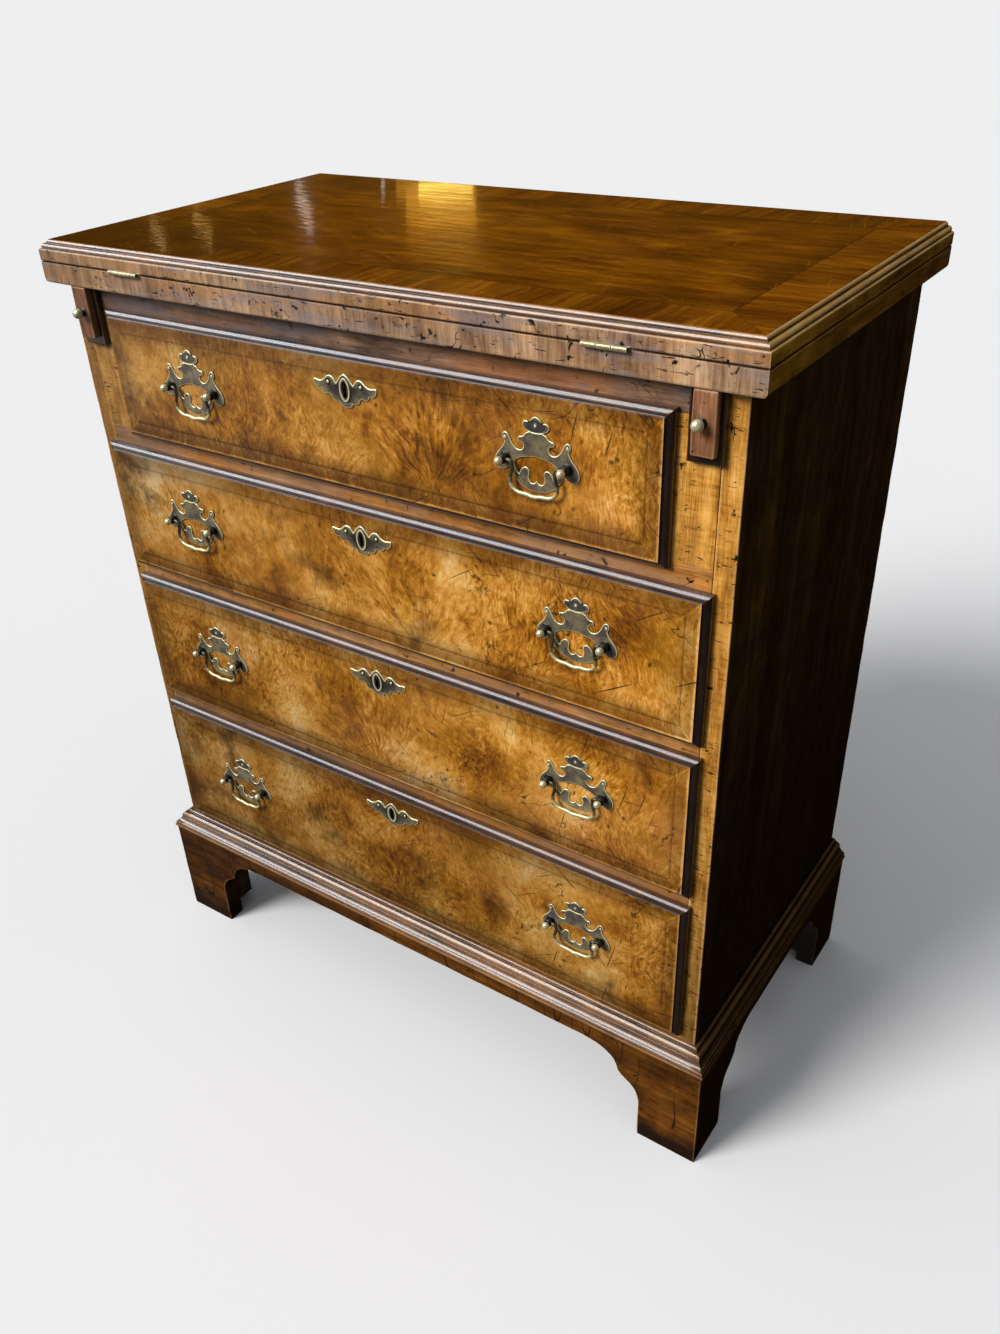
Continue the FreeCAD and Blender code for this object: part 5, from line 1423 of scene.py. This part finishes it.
for n in (1, 2, 3, 4):
    z0o, z1o, half = ZONES[n]
    tag, body = "drawer_%d_" % n, "drawer_%d" % n
    X = half + 3.6
    Z0, Z1 = z0o - 4.2, z1o + 4.2
    ch = half - 0.8
    zb, zt = z0o + 0.4, z1o - 1.4
    g = Shell()
    core = [(1.8, 12.0, 0.0), (0.5, 12.0, 0.6), (0.12, 11.88, 0.8),
            (0.0, 11.5, 0.6), (0.0, 10.2, 0.0), (0.0, -0.4, -1.0)]
    rings = [(-ch + i, ch - i, zb + i, zt - i, y, e, 0.02, 0.0)
             for i, y, e in core]
    lipp = [(0.5, -0.4, 0.2), (0.12, -0.55, 0.8), (0.0, -0.95, 0.9),
            (0.0, -1.8, 0.1), (0.0, -2.7, 0.1)]
    for k in range(0, 13):
        t = math.radians(7.5 * k)
        e = 0.2 if k < 11 else -0.5
        lipp.append((5.0 * (1 - math.cos(t)), -(3.0 + 5.0 * math.sin(t)),
                     e))
    lipp += [(5.45, -8.0, -1.0), (5.7, -8.15, -1.0), (5.7, -9.5, 0.2),
             (5.78, -9.8, 1.0), (5.95, -9.96, 1.0), (6.3, -10.0, 0.7),
             (7.1, -10.0, 0.0)]
    n_band = len(core) + len(lipp) - 1
    # the dark wear values of these rows paint dirt and shade round the border
    # of the field
    lipp += [(8.4, -10.0, -0.58), (16.5, -10.0, -0.40),
             (16.85, -9.95, -0.80), (17.2, -10.0, -0.70),
             (19.2, -10.0, -0.34), (28.0, -10.0, -0.10),
             (36.0, -10.0, 0.0)]
    rings += [(-X + i, X - i, Z0 + i, Z1 - i, y, e, 0.02, 0.0)
              for i, y, e in lipp]

    def fmat(i, side):
        if i < len(core) - 1:
            return 3
        if i < n_band - 3:
            return 1 if side % 2 == 0 else 2
        return 0
    rows = stack(g, rings, PLACE["y"], 58, 14, fmat, (3, 0), 0, 1.2)
    # the arris is rubbed below and at the right. The border is made darker
    # along its bottom, with a little painted shade below the top lip; the top
    # and left arrises get painted shadow of the lip
    for ring_, row in zip(rings, rows):
        inset = X - ring_[1]
        if ring_[4] < -9.8 and 8.3 < inset < 20.0:
            for i in row:
                pz = g.pts[i][2] * 1000.0
                if pz < Z0 + inset + 0.1:
                    g.wear[i] = max(-1.0, g.wear[i] - 0.16)
                elif pz > Z1 - inset - 0.1:
                    g.wear[i] = max(-1.0, g.wear[i] - 0.06)
        if ring_[4] > -9.0 or inset > 8.5:
            continue
        # painted shadow of the top lip and the left lip on the arris
        for i in row:
            px, pz = g.pts[i][0] * 1000.0, g.pts[i][2] * 1000.0
            if pz > Z1 - inset - 0.1 and px < X - inset - 0.1:
                g.wear[i] = min(g.wear[i], -0.6)
            elif px < -(X - inset) + 0.1:
                g.wear[i] = min(g.wear[i], -0.4)
    kz = KEY_Z[n]
    build(g, tag + "front_board",
          ["burr%d" % n, "lip_X", "lip_Z", "oak_X", "soot_and_hole_shade"],
          body, [tag + "front"], wear=0.12, sharp=38,
          freq=50.0, paint=lambda c, n_, m, kz=kz: throat(c, kz),
          cuts=[((-1.45, -12, kz - 5.4), (1.45, 14, kz + 6.4)),
                ((-23, 4, kz - 15), (23, 14, zt + 2))])
    # linings with lapped dovetails at the front corners
    g = Shell()
    top_z = zt - 3.0
    for s in (-1, 1):
        a, b = sorted((s * (ch - 10.0), s * ch))
        block(g, (a, 12, zb), (b, 322, top_z), "x", 0.9, 40.0)
        tails = 4 if n > 1 else 3
        pitch = (top_z - zb - 8.0) / tails
        for k in range(tails + 1):
            zc = zb + 4.0 + pitch * k
            w0, w1 = 2.0, 4.2
            if k in (0, tails):
                w0, w1 = 1.6, 2.6
            xs = s * (ch + 0.03)
            xi = s * (ch - 2.0)
            q = [(12.2, zc - w1), (12.2, zc + w1), (24.0, zc + w0),
                 (24.0, zc - w0)]
            o_ = [g.pt(xs, y, min(max(z, zb + 0.3), top_z - 0.3), 0.0)
                  for y, z in q]
            i_ = [g.pt(xi, y, min(max(z, zb + 0.3), top_z - 0.3), 0.0)
                  for y, z in q]
            g.face(o_, 1)
            g.face(i_[::-1], 1)
            for j in range(4):
                m2 = (j + 1) % 4
                g.face((o_[j], i_[j], i_[m2], o_[m2]), 1)
    block(g, (-(ch - 10.0), 312, zb + 14.0), (ch - 10.0, 322, top_z - 6.0),
          "y", 0.9, 40.0)


    def lining(c, n_, m, inner=ch - 10.05):
        if m == 0 and c.y * 1000.0 - FRONT > 311.0 and \
                abs(c.x) * 1000.0 < inner:
            return 2
        return None
    build(g, tag + "linings", ["oak_Y", "pine_Z", "oak_X"], body,
          [tag + "sides_and_back"], wear=0.3, paint=lining)
    g = Shell()
    block(g, (-(ch - 10.0), 12, zb + 6.0), (ch - 10.0, 322, zb + 14.0),
          "z", 0.6, 60.0)
    build(g, tag + "floor_board", ["oak_X"], body,
          [tag + "bottom"])
    # brass
    g = Shell()
    for s in (-1, 1):
        g.merge(plate, (s * PULL_X[n], -10.0, PULL_Z[n]))
    build(g, tag + "plates", ["brass", "brass_dish"], body,
          [tag + "backplates"], sharp=42)
    g = Shell()
    for s in (-1, 1):
        for q in (-1, 1):
            g.merge(post, (s * PULL_X[n] + q * 26.0, -10.0,
                           PULL_Z[n] - BORE))
    build(g, tag + "pillars", ["brass_ball", "brass_painted_shade"], body,
          [tag + "posts"], sharp=48)
    for word, s in (("left", -1), ("right", 1)):
        g = Shell()
        g.merge(bail, (s * PULL_X[n], -15.4, PULL_Z[n] - BORE))
        build(g, tag + "bow_" + word, ["brass_bail"],
              "drawer_%d_%s_pull" % (n, word),
              [tag + "bail_" + word], sharp=50)
    g = Shell()
    g.merge(key, (0, -10.0, kz))
    build(g, tag + "keyplate", ["brass", "soot_and_hole_shade"], body,
          [tag + "escutcheon"], sharp=42)

# ---------------------------------------------------------------- hinges
for name, upper, body, node in (
        ("hinge_lower_plates", False, "carcass", "hinge_fixed_leaves"),
        ("hinge_upper_plates", True, "top_leaf", "hinge_moving_leaves")):
    g = Shell()
    z0, z1 = (762.7, 763.9) if upper else (761.1, 762.3)
    spans = [(-5.4, 5.4)] if upper else [(-17.0, -5.8), (5.8, 17.0)]
    for cx in (-230.0, 230.0):
        block(g, (cx - 16.95, -12.95, z0), (cx + 16.95, 7.95, z1), "z",
              0.25, 8.0, sup=0.3)
        for x0, x1 in spans:
            length = x1 - x0
            prof = [(0.95, 0.0, -0.6), (1.8, 0.0, 0.4), (2.05, 0.25, 0.9),
                    (2.1, 0.7, 0.3), (2.1, length - 0.7, 0.3),
                    (2.05, length - 0.25, 0.9), (1.8, length, 0.4),
                    (0.95, length, -0.6)]
            lathe(g, prof, cx + x0, -15.6, 762.5, 20, "x")
            block(g, (cx + x0 + 0.1, -15.4, z0), (cx + x1 - 0.1, -12.6, z1),
                  "z", 0.2, 8.0, sup=0.2)
        for sx, sy in ((-11, -7), (11, -7), (0, 1)):
            zf = z0 if upper else z1
            d = -1.0 if upper else 1.0
            prof = [(1.4, -3.0 * d, 0), (1.5, -0.8 * d, 0),
                    (2.6, 0.01 * d, -0.8), (2.5, 0.06 * d, 0.7),
                    (0.2, 0.06 * d, 0.4)]
            lathe(g, prof, cx + sx, sy, zf, 18, "z", 0)
            solid(g, (cx + sx - 2.2, sy - 0.22, zf + (0.05 * d if d > 0
                                                     else 0.09 * d)),
                  (cx + sx + 2.2, sy + 0.22, zf + (0.09 * d if d > 0
                                                   else 0.05 * d)), 1)
    build(g, name, ["brass_hinge", "brass_painted_shade"], body, [node],
          sharp=42)
g = Shell()
for cx in (-230.0, 230.0):
    lathe(g, [(0.6, -17.2, 0.8), (0.88, -17.0, 0.8), (0.9, -16.6, 0),
              (0.9, 16.6, 0), (0.88, 17.0, 0.8), (0.6, 17.2, 0.8)],
          cx, -15.6, 762.5, 16, "x")
build(g, "hinge_rods", ["brass_painted_shade"], "carcass", ["hinge_pins"])

# ------------------------------------------- hidden boards and the locks
g = Shell()
block(g, (-309, 0, 136), (309, 330, 156), "z", 0.5, 40.0)
build(g, "case_bottom", ["gold_X", "pine_X"], "carcass",
      ["bottom_board"], paint=front_face)
g = Shell()
w = 634.0 / 3.0
for k in range(3):
    block(g, (-317 + w * k + (0.3 if k else 0.0), 330, 121),
          (-317 + w * (k + 1) - (0.3 if k < 2 else 0.0), 341, 744.5), "y",
          0.9, 40.0)
for k in range(3):
    for x in (-317 + w * k + 18, -317 + w * (k + 1) - 18):
        for z in (131, 146, 738, 730):
            lathe(g, [(2.4, -0.6, 0), (2.5, -0.25, 0.5), (1.6, -0.05, 0.9),
                      (0.2, -0.02, 0.9)], x + (3 if z in (146, 730) else 0),
                  341 - 0.35, z, 10, "y", 1)
build(g, "case_back", ["pine_Z", "iron"], "carcass",
      ["back_boards"], wear=0.3)
g = Shell()
for z0, z1, reach in ((303.5, 323.5, 40), (456, 476, 40), (596, 616, 60)):
    for s in (-1, 1):
        a, b = sorted((s * (309.0 - reach), s * 309.0))
        block(g, (a, 60, z0), (b, 330, z1), "z", 0.6, 60.0)
build(g, "runner_strips", ["oak_Y"], "carcass", ["drawer_runners"])
g = Shell()
for s in (-1, 1):
    a, b = sorted((s * 234.0, s * 274.0))
    block(g, (a, 60, 722.5), (b, 330, 744.5), "z", 0.6, 60.0)
build(g, "kicker_strips", ["oak_Y"], "carcass", ["top_kickers"])
g = Shell()
for s in (-1, 1):
    for lo, hi in (((291.6, 4.4, 6), (321.6, 34.4, 121)),
                   ((291.6, 293, 6), (321.6, 323, 121)),
                   ((303.6, 110, 108), (321.6, 216, 121))):
        a, b = sorted((s * lo[0], s * hi[0]))
        block(g, (a, lo[1], lo[2]), (b, hi[1], hi[2]), "z", 1.0, 30.0)
block(g, (-236, 4.4, 109), (236, 22.4, 136), "z", 1.0, 40.0)
build(g, "glue_strips", ["grimy"], "carcass", ["glue_blocks"],
      wear=0.5)

keep_mats = {"back_feet": "grimy"}
for n in (1, 2, 3, 4):
    keep_mats["drawer_%d_lock" % n] = "iron"
for node, key_ in keep_mats.items():
    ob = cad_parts[node]
    ob.data.materials.clear()
    ob.data.materials.append(M[key_])

# ------------------------------------------------- floor, light, camera
me = bpy.data.meshes.new("floor")
me.from_pydata([(-60, -60, 0), (60, -60, 0), (60, 60, 0), (-60, 60, 0)], [],
               [(0, 1, 2, 3)])
floor = bpy.data.objects.new("floor", me)
bpy.context.scene.collection.objects.link(floor)
g = Mat("floor_paper", Roughness=0.9, Specular_IOR_Level=0.0)
soft = g.noise(g.co, 1.2, 2.0)
g.set("Base Color", g.mix(soft, (227, 228, 231), (224, 226, 229)))
me.materials.append(g.m)
floor.visible_glossy = False
floor.visible_diffuse = False

world = bpy.data.worlds.new("studio")
bpy.context.scene.world = world
world.use_nodes = True
wt = world.node_tree
wt.nodes.clear()


class Sky(Mat):
    def __init__(s, tree):
        s.t = tree
        s.parts = None
        s.co = s.n("ShaderNodeTexCoord").outputs["Generated"]


w = Sky(wt)
out = w.n("ShaderNodeOutputWorld")
x, y, z = w.xyz()
# diffuse rays: brighter from the left and the front, little from the right
lobe = w.ma("ADD", w.ma("MULTIPLY", x, -0.55),
            w.ma("ADD", w.ma("MULTIPLY", y, -0.60),
                 w.ma("MULTIPLY", z, 0.55)))
lobe = w.span(lobe, -0.35, 1.0, 0.0, 1.0, True)
upper = w.span(z, -0.15, 0.10, 0.05, 1.0, True)
lee = w.span(x, -0.20, 0.55, 1.0, 0.42, True)
amount = w.ma("MULTIPLY", w.ma("MULTIPLY_ADD", lobe, 0.70, 0.06), lee)
# a weak fill from the right
amount = w.ma("ADD", amount, w.span(x, 0.05, 0.75, 0.0, 0.30, True))
amount = w.ma("MULTIPLY", amount, upper)
ambient = w.n("ShaderNodeBackground")
w.put(ambient.inputs["Color"], (0.985, 0.99, 1.0, 1.0))
w.put(ambient.inputs["Strength"], amount)
# glossy rays: a dim room, cool in front and warm brown behind
dim = w.span(z, -0.6, 0.25, 0.07, 0.026, True)
back_low = w.span(z, 0.05, 0.45, 1.0, 0.12, True)
behind = w.ma("MULTIPLY", back_low, w.span(z, -0.12, 0.02, 0.10, 1.0, True))
side_of = w.span(y, -0.05, 0.30, 0.0, 1.0, True)
cool = w.ve("MULTIPLY", w.vec(dim, dim, dim), (1.0, 0.97, 0.94))
warm = w.ve("MULTIPLY", w.vec(behind, behind, behind),
            (0.110, 0.048, 0.004))
shine = w.n("ShaderNodeBackground")
w.put(shine.inputs["Color"], w.mix(side_of, cool, warm))
w.put(shine.inputs["Strength"], 1.0)
path = w.n("ShaderNodeLightPath")
blend = w.n("ShaderNodeMixShader")
w.put(blend.inputs[0], path.outputs["Is Glossy Ray"])
w.t.links.new(ambient.outputs[0], blend.inputs[1])
w.t.links.new(shine.outputs[0], blend.inputs[2])
pale = w.n("ShaderNodeBackground")
w.put(pale.inputs["Color"], lin(235, 235, 237))
screen = w.n("ShaderNodeMixShader")
w.put(screen.inputs[0], path.outputs["Is Camera Ray"])
w.t.links.new(blend.outputs[0], screen.inputs[1])
w.t.links.new(pale.outputs[0], screen.inputs[2])
w.t.links.new(screen.outputs[0], out.inputs[0])
if hasattr(world, "cycles"):
    world.cycles.sampling_method = "NONE"


def toward(ob, target):
    d = Vector(target) - ob.location
    ob.rotation_mode = "QUATERNION"
    ob.rotation_quaternion = d.to_track_quat("-Z", "Y")


sun = bpy.data.lights.new("key", "SUN")
sun.energy = 3.72
sun.angle = math.radians(26)
sun.color = (1.0, 0.975, 0.94)
so = bpy.data.objects.new("key", sun)
bpy.context.scene.collection.objects.link(so)
so.rotation_mode = "QUATERNION"
so.rotation_quaternion = Vector((0.413, 0.707, -0.574)).to_track_quat(
    "-Z", "Y")
so.visible_glossy = False


def panel(name, spot, target, size, bright, color=(1, 1, 1), flat=False):
    """A light of even brightness that shows only in polish and metal.
    flat is not used."""
    li = bpy.data.lights.new(name, "AREA")
    li.shape = "RECTANGLE"
    li.size, li.size_y = size
    li.energy = bright * math.pi * size[0] * size[1]
    li.color = color
    ob = bpy.data.objects.new(name, li)
    bpy.context.scene.collection.objects.link(ob)
    ob.location = spot
    toward(ob, target)
    ob.visible_diffuse = False
    ob.visible_camera = False
    return ob


# two long windows along the front, seen as lines in every moulding
panel("window_low", (-2.0, -2.08, 2.10), (-2.0, -0.17, 0.5), (4.4, 0.80), 10.0,
      (0.78, 0.90, 1.0))
panel("window_high", (-2.0, -1.18, 2.78), (-2.0, -0.17, 0.5), (4.4, 0.68),
      10.0, (0.78, 0.90, 1.0))
# a pale wall low on the left, a haze in the left half of the fronts
panel("pale_wall", (-1.22, -0.98, 0.46), (-0.1, -0.17, 0.72), (0.8, 0.55),
      0.60, (1.0, 0.96, 0.94))

# lamp and windows behind, seen along the polished top
MC = Vector((0.59442, -0.82213, 0.58235))


def behind_top(name, azimuth, e0, e1, width, bright, color, far=3.6,
               lean=0.0):
    """azimuth from +y towards -x, e0 to e1 elevations, all in degrees.
    lean turns the panel clockwise as the camera sees it."""
    a0 = math.radians(azimuth)
    mid = math.radians((e0 + e1) / 2.0)
    d = Vector((-math.sin(a0) * math.cos(mid),
                math.cos(a0) * math.cos(mid), math.sin(mid)))
    ob = panel(name, MC + d * far, MC, (width * far,
                                        math.radians(e1 - e0) * far),
               bright, color)
    ob.rotation_quaternion = ob.rotation_quaternion @ Quaternion(
        (0, 0, 1), math.radians(lean))


behind_top("lamp_core", 36.9, 8.2, 8.8, 0.0434, 3.4, (1.0, 0.76, 0.16))
behind_top("lamp", 36.9, 8.8, 9.2, 0.0434, 2.3, (1.0, 0.60, 0.08))
behind_top("lamp_left", 38.65, 8.2, 9.2, 0.0192, 0.75, (1.0, 0.48, 0.06))
behind_top("lamp_glow", 37.2, 9.2, 9.8, 0.0560, 1.35, (1.0, 0.46, 0.05))
behind_top("lamp_fade", 37.2, 9.8, 10.5, 0.0560, 0.72, (1.0, 0.38, 0.03))
behind_top("lamp_end", 37.2, 10.5, 11.1, 0.0560, 0.32, (1.0, 0.34, 0.02))
behind_top("pane_a", 43.5, 8.4, 10.4, 0.0055, 1.15, (1.0, 0.80, 0.68), 3.6,
           14)
behind_top("pane_b", 48.2, 9.3, 10.8, 0.0042, 1.1, (1.0, 0.58, 0.16), 3.6, 24)
behind_top("pane_c", 50.2, 9.6, 10.8, 0.0040, 1.1, (1.0, 0.60, 0.22), 3.6, 24)
behind_top("pane_d", 39.8, 8.3, 8.8, 0.003, 1.4, (1.0, 0.90, 0.70))

# -------------------------------------------------------------- camera
C = Vector((0.59442, -0.82213, 0.97765))
T = Vector((-0.02067, 0.02143, 0.27869))
ahead = (T - C).normalized()
right = ahead.cross(Vector((0, 0, 1))).normalized()
down = ahead.cross(right).normalized()
c, s = math.cos(-0.04866554), math.sin(-0.04866554)
r2 = right * c - down * s
d2 = right * s + down * c
cam = bpy.data.cameras.new("camera")
cam.lens = 41.267
cam.sensor_width = 36.0
cam.sensor_fit = "HORIZONTAL"
cam.shift_x = 0.01077
cam.shift_y = 0.04638
cam.clip_start = 0.01
cam.clip_end = 200.0
co = bpy.data.objects.new("camera", cam)
bpy.context.scene.collection.objects.link(co)
rot = Matrix((r2, -d2, -ahead)).transposed()
co.matrix_world = Matrix.Translation(C) @ rot.to_4x4()
bpy.context.scene.camera = co
bpy.context.scene.view_settings.view_transform = "Standard"
